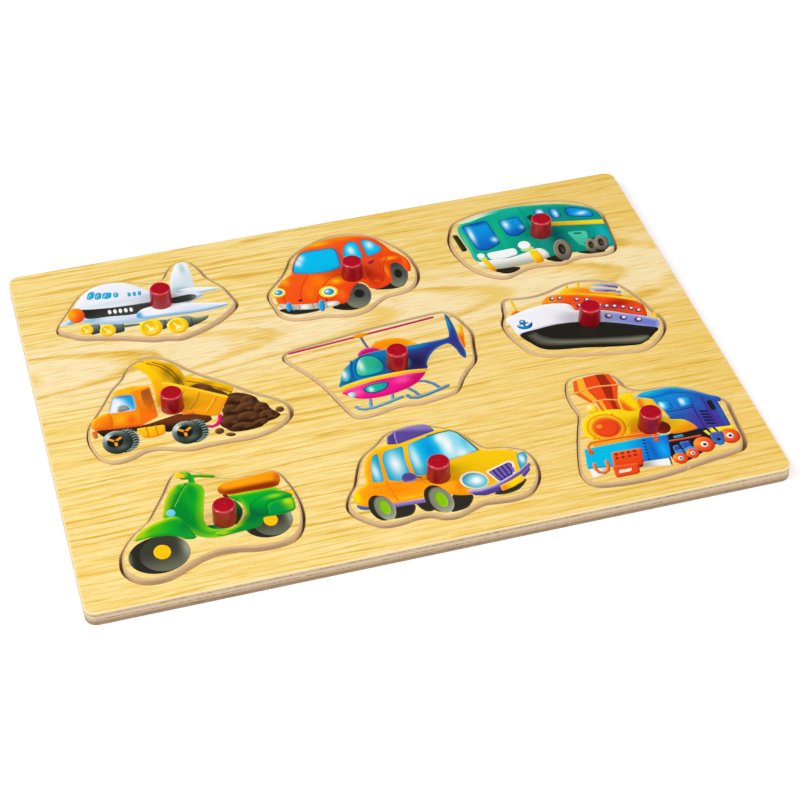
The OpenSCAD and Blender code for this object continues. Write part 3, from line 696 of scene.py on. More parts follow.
def draw_dump_truck(lay):
    """A dump truck that faces left, tipping earth off its bed."""
    lay(rounded(0.8, 36, 70.4, 38.4, 73.2, 44, 70.4, 50.6, 66, 53, 62, 54.6, 55, 66, 48.2, 77, 39.6,
        75, 34.4, 70, 36, 56, 44, 46, 48), "#f8b80c", ("#fdd416", "#d8980c", 1.6),
        glows=[(47, 60, 3, 6, "#a37a0e"), (51, 52, 2.6, 5, "#6e5412"),
        (61, 45.4, 6, 1.8, "#9a7210"), (70, 38.8, 4, 1.6, "#a87c0e")])
    for points in (
        (38, 70, 43, 66.4, 47, 61, 49.4, 55, 50.6, 49),
        (41, 70, 46.4, 65.6, 49.6, 60, 51.6, 54, 52.8, 48), (55, 50.6, 62, 46.4, 69, 41, 75, 35.6),
    ):
        lay(stroke(0.7, *points), "#7c5a10", ("#a87e12", "#5a4210", 0.4))
    lay(rounded(0.8, 30.6, 70, 34, 71.6, 37.4, 70.2, 41, 64, 43, 58, 44.4, 50, 42, 44, 41, 35,
        37, 34.6, 37.8, 48, 37.6, 57, 36.4, 61.6), "#fccc06", ("#fdda1c", "#eaa80a", 1.2),
        fade=("#f89c12", 36, 66, 40, 40))
    lay(smooth(55, 45, 58.6, 46.8, 62, 45.8, 65, 44.2, 67.4, 41, 71, 37.4, 73, 33, 66, 33, 58, 39),
        "#5c3320", ("#86502c", "#33190f", 1.6), glows=[(62, 43, 3, 1.2, "#7c4a28")])
    lay(smooth(71, 33, 76, 34.8, 80, 33.4, 83.6, 31, 86, 28, 87, 24.6, 90, 22.4, 91.2, 18,
        93.6, 14.6, 94.8, 12, 92, 9.8, 86, 8.2, 84, 6, 77, 5.2, 70, 6, 67, 9, 64.6, 12.4, 64.6, 15,
        66.6, 18.6, 68.4, 23), "#4a2b18", ("#6e4626", "#2c180c", 1.6))
    for x, y, wide, high, tilt in (
        (75, 29.4, 5.4, 3.4, -14), (81.6, 27.4, 4, 3.4, 24), (71.6, 22.4, 4.2, 4, 10),
        (79.4, 22, 5.6, 4, 18), (86.4, 20, 3.4, 4, -20), (70.4, 14, 4.8, 4.4, 20),
        (79.4, 14.8, 5.8, 4, -14), (88.4, 14, 4.2, 3.4, 12), (75.4, 8.8, 5.6, 2.8, -8),
        (84, 9.2, 4.2, 2.4, 12), (90.6, 11, 2.6, 1.4, 0),
    ):
        lay(oval(x, y, wide, high, tilt), "#4c2d19", ("#7a4c2a", "#26140a", high * 0.9),
            glows=[(x + wide * 0.3, y - high * 0.2, wide * 0.4, high * 0.3, "#6a4226"),
            (x - wide * 0.2, y - high * 0.5, 1.4, 0.9, "#2c180d")])
    for x, y, wide, high in ((95.4, 16, 2.2, 2.1), (63.2, 8.6, 2.3, 2.3), (68, 4.6, 2.5, 1.4)):
        lay(oval(x, y, wide, high, -20), "#6a4327", ("#a3713f", "#331c10", 1.5))
    lay(stroke(2.2, 65.8, 19.8, 65, 16.2, 63, 13.6, 60.4, 12.8, 58.4, 13.8), "#e0106e",
        ("#f4589c", "#a80a52", 0.8))
    lay(rounded(1.2, 4.4, 26, 30, 23.6, 46, 27, 61, 23, 61.6, 18, 56, 15.4, 38, 15, 36, 20,
        8, 19.6), "#6c3418", fade=("#1f1a14", 40, 24, 39, 17))
    lay(rounded(1.4, 24, 22, 38.2, 21, 37.4, 14.4, 31, 13, 26, 14.4), "#fbc00e",
        ("#fdda3a", "#d8780c", 1.2), fade=("#f5a510", 30, 20, 31, 13))
    for x in (28.8, 33.4):
        lay(stroke(0.9, x, 21.4, x + 0.2, 17, x - 0.2, 14.2), "#d87c10",
            ("#fbd02a", "#c8660c", 0.5))
    lay(rounded(1, 2.4, 25.8, 5.2, 26.2, 4.8, 20.2, 2.8, 20.4), "#d8702c",
        ("#f09a4a", "#9a4416", 0.8))
    lay(rounded(1, 43, 51.6, 45.4, 52.6, 56, 45.4, 72.2, 33.6, 72, 31, 65, 20, 61, 21, 46, 28.4,
        41, 32), "#fbb410", ("#fdd030", "#d9800a", 1.2), fade=("#f59c10", 56, 40, 62, 24))
    for x, y, low in ((59.4, 40.6, 29), (66.8, 34.8, 24.4), (52, 44, 33)):
        lay(stroke(1.7, x, y, x * 0.62 + (x - 7) * 0.38, (y + low) / 2, x - 7, low), "#f6a60e",
            ("#fdc93a", "#d07a0a", 1))
    lay(stroke(2.2, 43.6, 51.8, 52, 46.8, 61, 40.4, 71.6, 32.8), "#fdd01c",
        ("#fee25a", "#eca60c", 0.9))
    lay(rounded(0.8, 48, 28, 54, 27, 54, 24.6, 48, 25.4), "#f07c2a", ("#f8a050", "#b8481a", 0.8))
    lay(rounded(1.6, 15, 47, 19, 53, 27, 54.6, 36.2, 52.2, 36.2, 48, 27, 48, 18, 48), "#fbb410",
        ("#fdc62a", "#f59a10", 1.6))
    lay(rounded(1, 26, 50.2, 36.4, 51.8, 36.2, 27.8, 27.4, 23.8), "#fa8a12",
        fade=("#f8720f", 31, 44, 30, 28))
    lay(rounded(1.2, 31, 49, 35.8, 50.6, 36, 38, 33, 34, 31, 40), "#a85620",
        fade=("#e07412", 34, 48, 33, 35))
    lay(rounded(1.6, 11.6, 26, 12.4, 36.4, 15.4, 46, 18.4, 50, 27.6, 49.4, 29, 36, 28, 24,
        18, 24.8), "#fa9212", ("#fdb21c", "#ea680e", 1.6), fade=("#f8780e", 20, 34, 20, 24),
        glows=[(17.6, 31, 3, 3.4, "#fcae12"), (23, 29, 2, 3, "#f2640e")])
    lay(smooth(2.8, 28.6, 3.8, 33, 7, 36, 12.4, 37.4, 14, 33, 12.6, 26, 6, 26.4), "#fb9412",
        ("#fdd40e", "#e0600e", 2), fade=("#f06c10", 6, 33, 11, 27))
    lay(stroke(1.2, 4.6, 26.8, 16, 25, 27.4, 23.8), "#e8581a")
    lay(rounded(1.6, 12.8, 36.8, 16.8, 48.6, 20, 49, 26.4, 48, 27.2, 45.6, 26.6, 35.8, 20, 36.4),
        "#eaf2f8", ("#5aa4dc", "#c8deee", 0.9), fade=("#1ba0e0", 19.6, 41, 25.6, 43),
        glows=[(22, 48, 4, 1.4, "#1d84cc")])
    lay(smooth(17.6, 37, 18, 40.6, 20.4, 41.8, 22.6, 40.2, 23.2, 37), "#8e9896",
        ("#dce2e0", "#3c4442", 1.2))
    for x, y in ((13.2, 14.8), (47.4, 12.2)):
        lay(oval(x + 3.6, y, 7.2, 8.6), "#26302c")
        for turn in range(-70, 71, 14):
            across, up = math.cos(math.radians(turn)), math.sin(math.radians(turn))
            for out in (0, 1.9):
                at_x, at_y = x + 2.2 + out + 6.6 * across, y + 8.2 * up
                lay(stroke(0.7, at_x - 0.7, at_y, at_x + 0.7, at_y + 0.4), "#84948c")
        lay(oval(x, y, 7.2, 8.6), "#35403a", ("#b4c4ba", "#1a201c", 3.2),
            glows=[(x - 3.6, y + 4.2, 2, 2.8, "#e4ece8"), (x + 2, y - 4, 3, 2, "#55625a")])
        lay(oval(x - 0.6, y + 0.6, 4.1, 4.6), "#171b18", ("#0f120f", "#4a544e", 0.8))
        for end_x, end_y in ((-2.8, 2.3), (2.8, 2.1), (0, -2.9)):
            lay(stroke(1.5, x - 0.6, y + 0.7, x - 0.6 + end_x, y + 0.7 + end_y), "#fba01c",
                ("#fdb83a", "#d87c10", 0.6))
        lay(oval(x - 0.6, y + 0.8, 0.9), "#4a2c12")


def draw_helicopter(lay):
    """A helicopter that faces left."""
    lay(smooth(92.6, 38.6, 94, 38.4, 95, 44, 96.4, 50, 97, 56, 95.4, 56.6, 94, 51, 92.6, 53,
        92.4, 44), "#fbb80f", ("#ffe23c", "#f6a010", 0.8), fade=("#f2641a", 95, 53, 94, 45))
    for width, points in (
        (1.9, (34.8, 13, 34.4, 10, 33.6, 6.4)), (1.9, (46.8, 14, 46.4, 11, 45.8, 8.4)),
        (2, (54.4, 16.8, 56.6, 14, 58.6, 11, 59.8, 7.6)),
        (2, (61.6, 19.2, 65.4, 18.2, 69, 15.2, 71.8, 10.6)),
        (2.2, (26.4, 8.6, 27.4, 6.6, 30, 5.4, 36, 5.6, 44, 7.4, 51, 9.5)),
        (2.3, (53.8, 9.8, 55, 7.6, 58.4, 6.6, 64, 7.5, 70, 9.3, 76, 11.3)),
    ):
        lay(stroke(width, *points), "#6aa4bc", ("#9cc8d8", "#34607c", 1),
            fade=("#5a86a4", 40, 12, 60, 6))
    lay(stroke(1.5, 42.8, 63, 43.4, 57, 44.4, 51), "#5a6a94", ("#8fa4c8", "#34406a", 0.7))
    lay(smooth(44.6, 47.6, 46, 52.8, 50, 56.2, 57, 56.8, 63, 55.2, 66.8, 51.8, 69.8, 48.8, 68, 47,
        57, 46.6), "#fb9a08", ("#ffb41a", "#f0820c", 2), fade=("#f8cc14", 64, 50, 69.4, 48.6),
        glows=[(49, 50, 3, 3, "#f9800c"), (56, 52, 5, 2, "#fb8c0a")])
    lay(smooth(37.6, 47, 39.2, 50.6, 43.2, 52.4, 48, 51.4, 50.2, 47.4, 44, 46.4), "#cc1068",
        ("#f466a0", "#b0105e", 2))
    lay(smooth(22.8, 25, 24, 31, 27.6, 37.8, 33, 43.8, 39, 47.2, 48, 48.4, 60, 48, 74, 47.9,
        86, 48.4, 88.4, 51, 89.6, 59, 90.8, 67.6, 92.4, 65, 92.9, 54, 92.4, 44, 92.8, 35,
        91.4, 29.8, 89.4, 32.6, 88.4, 38.6, 86.6, 43, 84, 43.6, 79, 41.6, 74, 37, 70.6, 31.4,
        68.8, 27, 56, 26.6, 38, 26.4), "#0c7cbc", ("#1498cc", "#1488b8", 1.7),
        fade=("#3a3080", 50, 48, 70, 32), glows=[(66.4, 33, 4.4, 7, "#2c2358"),
        (56, 29.4, 8, 1.6, "#1c2c54"), (88.8, 46, 1.8, 5, "#38348c"), (90.6, 60, 1, 5, "#1c94b0"),
        (70, 46, 9, 1.4, "#0f8cca"), (78, 45, 6, 1.4, "#24409c"), (42, 46.8, 6, 1, "#0c6ca4"),
        (28, 28.6, 4, 1.6, "#0a5c80")])
    lay(smooth(24.2, 30.8, 26, 36.2, 29.6, 40.6, 30.6, 37, 29.4, 32.6, 27.4, 29), "#2aa0b4",
        ("#17809c", "#17809c", 0.8), glows=[(26.8, 35, 1.7, 4, "#eef8f6")])
    lay(stroke(1.5, 33, 44, 31.2, 38, 30.6, 32, 30.4, 28.4), "#0e5cac", ("#1a7cd0", "#1a3a80", 0.6))
    lay(rounded(3.6, 32.6, 30.4, 33, 38, 36, 45, 40, 47.2, 46, 45.6, 49.4, 39, 48.8, 31.4,
        40, 29.6), "#0f7496", ("#0c4c88", "#0d4a74", 1))
    lay(rounded(3.2, 33.4, 31.4, 34, 38, 37, 44.6, 40.6, 46.2, 45.4, 44.8, 48.4, 39, 47.6, 32.4,
        40, 30.8), "#2cbe96", ("#4cc8ac", "#1fa0a4", 1.2), fade=("#26b0ac", 42, 38, 47, 33),
        glows=[(36.8, 39.6, 1.9, 5, "#e6f4ee")])
    lay(rounded(2.4, 53.6, 31, 54, 42, 60, 43, 63.8, 36, 61.6, 30), "#28a4a8",
        ("#0f5c90", "#123c70", 1.8))
    lay(smooth(23.2, 22.2, 24.4, 18, 29, 14.4, 36, 12.5, 44, 12.6, 52, 14, 60, 17, 65, 21,
        67.6, 25.8, 56, 26, 40, 25.6), "#f4108a", ("#fb70b4", "#cc0c62", 2.4),
        fade=("#cc0a66", 44, 20, 64, 17), glows=[(54.4, 22.4, 5, 3, "#fc4ca4"),
        (29.6, 19.4, 3.4, 3.4, "#fb5cac"), (63, 22, 3, 2.4, "#d00a64"),
        (44, 24.6, 8, 1, "#d40f5c")])
    lay(smooth(22.8, 25.6, 22.8, 22.6, 32, 24.8, 44, 26, 58, 26.2, 68, 25, 68.8, 27.2, 58, 29,
        44, 29, 32, 28), "#fbd417", ("#ffe84a", "#ee9c10", 1.2), fade=("#f9ae18", 44, 27, 66, 27))
    lay(smooth(33, 20.4, 35.4, 22.8, 41, 23.8, 46.8, 23, 46.4, 19.4, 43, 17, 38, 16, 34.4, 17.6),
        "#1d4a80", ("#1c78a0", "#1c2c60", 0.9))
    lay(smooth(34.4, 20.4, 36.4, 22.2, 41, 22.9, 46, 22.2, 45.4, 19.6, 42.4, 17.8, 38, 17,
        35.2, 18.2), "#14b294", fade=("#1898a4", 42, 20, 46, 21),
        glows=[(37.2, 19.4, 1.5, 2.1, "#e4f4ee")])
    lay(smooth(24.6, 19.4, 26.6, 20.2, 28.4, 19.4, 28.6, 17.4, 27, 15.8, 25.4, 16.6), "#a8d8d8",
        ("#8cc0cc", "#6fa8b8", 1), glows=[(26, 18.4, 1, 1.3, "#f4fafa")])
    lay(stroke(1.7, 3.4, 59.6, 24, 61.4, 44, 63.3, 64, 65.2, 84, 67.2), "#d02454",
        ("#ee6a84", "#8e1838", 0.8), fade=("#c41c48", 30, 61, 80, 67),
        glows=[(24, 61.6, 8, 1, "#c4504c")])
    lay(smooth(39, 63.6, 41, 65, 45, 65.2, 47.4, 64, 44.6, 62, 40.6, 61.8), "#f4960f",
        ("#ffb42c", "#d9700a", 1))


def draw_ship(lay):
    """A passenger ship with its bow to the left."""
    for points in ((12, 57, 12.2, 72), (97, 28, 98, 33), (51, 72, 52, 76), (59, 73, 60.4, 77)):
        lay(stroke(1.9, *points), "#f6c90e", ("#fff06a", "#d89a0a", 0.9))
    lay(smooth(8, 56.6, 9.6, 59.6, 12, 60.6, 14.6, 59, 14, 56.4), "#e8601c",
        ("#ff9440", "#b8380c", 1.4))
    for x, y, code, other in (
        (70, 72.4, "#a8c0e8", "#8f9cd0"), (71.4, 70.2, "#b9a8b8", "#6c4a86"),
        (68, 69.8, "#f0dc9c", "#d8c8a4"), (67, 67.8, "#a8bce8", "#8a98d0"),
        (69.4, 65.6, "#9a86b4", "#5c3a80"), (77, 61.4, "#c8c0c4", "#98a8d8"),
    ):
        far = min(14, 83.4 - x)
        lay(stroke(2.1, x, y, x + far / 2, y - far * 0.17, x + far, y - far * 0.42), code,
            fade=(other, x + 1, y, x + far * 0.7, y - 4))
    lay(smooth(44, 68, 46, 71.4, 50, 73.6, 55, 73.4, 61, 72, 64.6, 69.6, 66.6, 65.8, 74, 63,
        80, 60.4, 84, 55.4, 70, 58, 56, 62), "#f98c0f", ("#ffd53c", "#e06a0c", 2.2),
        fade=("#f8c70f", 60, 66, 48, 72), glows=[(78, 58.6, 5, 2.4, "#f9b20f")])
    lay(smooth(30.4, 60.4, 32.6, 65.6, 37.4, 69, 45, 68.8, 55, 66, 66, 61.6, 77, 56.6, 87, 50.4,
        92.8, 45, 93.6, 40, 91, 30.6, 79, 37.6, 66, 44.4, 49.4, 49.4, 48.4, 56, 42, 59), "#f4501a",
        ("#ff9a2a", "#c8260c", 3), fade=("#f98f10", 52, 60, 34, 66),
        glows=[(78, 49, 10, 5, "#b81e10"), (56, 52, 4, 5, "#e8421a")])
    lay(stroke(2.1, 45, 68.6, 56, 66, 68, 61, 80, 55.4, 91.4, 48.6), "#f9b60f",
        ("#ffe45c", "#e8880c", 1), fade=("#f8d31c", 60, 64, 84, 53))
    lay(smooth(3.2, 53, 8, 56.4, 18, 59.4, 30, 61.4, 40, 60.4, 47, 57.4, 48.6, 53, 50.4, 49.6,
        60, 47.4, 70, 43.4, 82, 36.4, 92, 30.6, 97.6, 25.4, 96.6, 21, 93.6, 17.6, 84, 23, 72, 29,
        60, 33.8, 47, 37.6, 33, 39, 20, 38, 7, 35.6, 4.6, 44), "#f3f2f6", ("#ffffff", "#b9b4d4", 3),
        fade=("#6f7ecb", 46, 46, 84, 30),
        glows=[(42, 44, 7, 6, "#dcd8e6"), (80, 32.6, 5, 3, "#8a92d8")])
    lay(smooth(7.2, 36.4, 20, 38.8, 33, 39.8, 47, 38.2, 60, 34.4, 72, 29.6, 84, 23.4, 94.4, 17.8,
        90, 12.8, 84, 8.2, 78, 5.4, 70, 6.2, 56, 9, 42, 12.4, 26, 15.2, 17, 18.6, 12, 25),
        "#22211b", ("#34332b", "#12110d", 2))
    lay(smooth(11.4, 35, 13.6, 27.6, 18, 22.4, 27, 19, 42, 15.8, 56, 12.4, 70, 8.4, 80, 6.6,
        86, 9.4, 84.6, 13.6, 74, 15.4, 62, 17.8, 48, 20.8, 36, 23.8, 26, 27.4, 20.4, 31.6,
        17, 36.4), "#7e7e68", ("#24231d", "#2c2b22", 3.4), fade=("#5e5e50", 40, 20, 14, 32))
    lay(oval(12.6, 48.4, 2.2), "#1580b8", ("#3aa0d0", "#1d4f98", 0.9))
    lay(oval(12.5, 48.8, 0.7), "#e8f2f8")
    lay(stroke(1.7, 12.8, 46.6, 13, 42), "#1672b0")
    lay(stroke(1.3, 10.2, 46.4, 12.8, 46.2, 15.6, 46.6), "#1a78b4")
    lay(smooth(8, 46.2, 8.4, 43, 10.8, 41, 13.4, 40.6, 16.2, 41.4, 18, 43.6, 18.4, 46.6, 16.4, 45.2,
        13.2, 43.4, 10, 44.8), "#1586c0", ("#2c9cd4", "#1c4a94", 0.8),
        fade=("#2a3f94", 12, 42, 18, 45))
    for x, y, size in (
        (38.6, 65.6, 1.7), (43.4, 64.9, 1.7), (53.8, 60.6, 1.8), (53.4, 54, 1.8), (60, 58.4, 1.8),
        (66, 50.6, 1.9), (70.2, 48.4, 1.9), (75, 46.8, 1.9), (80, 44.4, 1.9), (84.6, 41.6, 1.9),
        (88.6, 38.4, 1.9), (68, 38.2, 2.4), (76.6, 34, 2.4), (85.2, 29.4, 2.4),
    ):
        lay(oval(x, y, size * 1.06), "#5b2a5e", ("#8a5a8a", "#2e2456", 0.8))
        lay(oval(x + size * 0.3, y + size * 0.1, size * 0.6), "#e6e6f4",
            ("#ffffff", "#8a86b8", 0.7))


def draw_scooter(lay):
    """A motor scooter that faces left."""
    for x, y, wide, high, tread in ((80.4, 25.6, 13.4, 12.6, 2.4), (20, 16.8, 16.4, 13.7, 3)):
        lay(oval(x, y, wide, high), "#2a2923", glows=[(x - wide, y + 2, 2, high * 0.6, "#77796a")])
        lay(oval(x + tread, y + 0.4, wide - tread, high - 0.5), "#3c3b32",
            fade=("#6a6d5b", x + tread, y + high * 0.3, x + tread + 1, y - high),
            glows=[(x + wide - 1, y + 2, wide * 0.2, high * 0.8, "#9a9e88"),
            (x + 2, y + 3, wide * 0.3, high * 0.4, "#38372f")])
    for x, y, wide, high in ((82, 26, 3.8, 4.8), (21.8, 18.4, 4.6, 5.4)):
        lay(oval(x, y, wide, high), "#fcc40a", ("#ffd52a", "#eba906", 0.9))
    lay(smooth(41, 71.6, 44, 71.4, 48, 70.6, 47, 69.2, 43, 70), "#1f8f1c")
    lay(stroke(2.5, 47.6, 71.6, 52, 70.6, 59, 68.2), "#4d9d12", ("#b4d81e", "#1c6f10", 1.3))
    lay(oval(41.6, 74.1, 2.4, 2.7, -10), "#fdc81c", ("#fde46a", "#e8a810", 1))
    lay(smooth(42, 76.6, 45.4, 76.4, 48, 73.6, 47, 71, 43.6, 71.2, 43.6, 74), "#8cc81a",
        ("#d4e43a", "#2f9a22", 1.4), fade=("#1d8f2a", 44.4, 74, 47.6, 73.6))
    lay(rounded(1.2, 44.8, 63, 46.4, 72.6, 49.2, 72.6, 48.8, 63), "#0d8a2c",
        fade=("#1faf2a", 45, 68, 49, 68))
    lay(smooth(48.4, 31, 52, 30.8, 57, 30, 57, 26.4, 51, 26.6), "#0b6a34",
        fade=("#0f8a3a", 50, 30, 56, 28))
    lay(smooth(27.6, 42.6, 28.2, 49, 30.4, 56, 33.4, 62, 37, 66, 42, 67.3, 47.4, 66.4, 51.2, 63.4,
        52.6, 58.6, 51, 51, 49, 43, 47.8, 36, 49, 30, 53.4, 27, 62, 26.6, 67, 30, 68.6, 26, 62, 22,
        53, 20.8, 45, 23, 37, 30), "#0eaa24", ("#e2e80a", "#b8d40c", 5.4),
        fade=("#068a2c", 46, 50, 36, 48), glows=[(39, 44, 2.6, 10, "#058a2c"),
        (45.4, 60, 2.6, 8, "#08962a"), (60, 25, 8, 1.6, "#0ba82c"), (40, 64, 2, 3, "#10ac24")])
    lay(stroke(0.9, 32, 48.6, 35.4, 53, 38.4, 58.4, 41.4, 63.4, 44, 66.6), "#0b7f27")
    lay(stroke(0.7, 34.6, 50.6, 37.6, 55.4, 40.4, 60.4, 43.6, 65), "#5fbf30")
    lay(smooth(9.2, 30.4, 12, 35, 17.6, 39.4, 24, 41.8, 31, 43.2, 35.6, 41, 38.6, 33, 40.8, 24,
        36, 24.2, 32, 27.2, 26.6, 29.8, 18, 30.6), "#46ba10", ("#e0e60a", "#0a922a", 3.2),
        fade=("#0aa22c", 20, 38, 33, 34),
        glows=[(13, 33.4, 4, 2.6, "#a8cc0c"), (36, 33, 3, 5, "#078a34")])
    lay(stroke(0.8, 36.4, 37, 38.6, 31, 41, 24.6), "#0a7a30")
    lay(oval(31.8, 46, 2.4, 2.8), "#66d4f0", ("#9ce6f6", "#3fb0d8", 0.9))
    lay(smooth(66, 46, 68.4, 42, 69, 37, 67, 31.6, 63, 28, 62, 38), "#1c6a22",
        fade=("#0f4a24", 67, 44, 66, 32))
    lay(smooth(94, 46.4, 96, 46, 98.8, 44.6, 98.2, 41.4, 96, 40.6, 94, 42.4), "#fbc31c",
        fade=("#f79a2a", 96, 43, 94, 46))
    lay(smooth(63.4, 50.8, 70, 50.8, 80, 50.6, 89, 50.2, 92, 48, 94.6, 44.4, 97.2, 40.4, 97.4, 33.6,
        95, 29.4, 86, 28.4, 79, 28.6, 77.6, 25, 74, 22.6, 66, 21.8, 54, 21.2, 52, 24.6, 62, 26.4,
        68, 30, 70.6, 36, 69.6, 42.6, 66, 47), "#06ae28", ("#d4e40c", "#0a8a2a", 2.8),
        fade=("#079430", 76, 46, 72, 26), glows=[(92, 48, 2.4, 3, "#a8d41a"),
        (74, 29, 6, 4, "#067f36"), (70, 40, 1.6, 6, "#8cc61a"), (56, 23, 4, 1.2, "#a8d01a")])
    lay(smooth(73, 33, 73.4, 39, 77, 43.4, 83, 45.8, 90, 46.6, 96.4, 43.4, 96.6, 40.4, 88, 40.4,
        82.6, 38, 82, 31, 78, 30), "#05a832", ("#067a38", "#066a38", 1.2),
        fade=("#05773a", 80, 42, 77, 31), glows=[(88, 43.6, 5, 1.7, "#9ad41a"),
        (94, 41.6, 2.4, 0.8, "#0b8a30")])
    lay(smooth(82.6, 34, 84, 37.8, 89, 39.2, 96, 39.6, 97.4, 35, 96, 30.4, 90, 29.6, 84, 30),
        "#069640", ("#30b42e", "#07803a", 1.6), fade=("#8ccc12", 88, 35, 96, 37),
        glows=[(94, 37.6, 2.4, 2, "#c8e00e")])
    lay(rounded(0.8, 61, 52.4, 63.6, 52, 64.4, 49, 61.8, 49.4), "#5a2a12")
    lay(smooth(59.4, 56, 61, 59.8, 66, 61.4, 76, 62, 86, 63.2, 91.8, 62.6, 94.2, 58.6, 93.4, 53.6,
        91, 50.6, 84, 50.2, 74, 50.8, 66, 51, 61, 52.8), "#fb9a08", ("#fba81e", "#c05c0e", 1.5),
        fade=("#8a2c0c", 76, 57.4, 76, 53), glows=[(92.6, 57, 2, 4, "#d4640e"),
        (60.6, 55.6, 2, 2.4, "#bb4f10"), (72, 59, 9, 2, "#fda60a")])


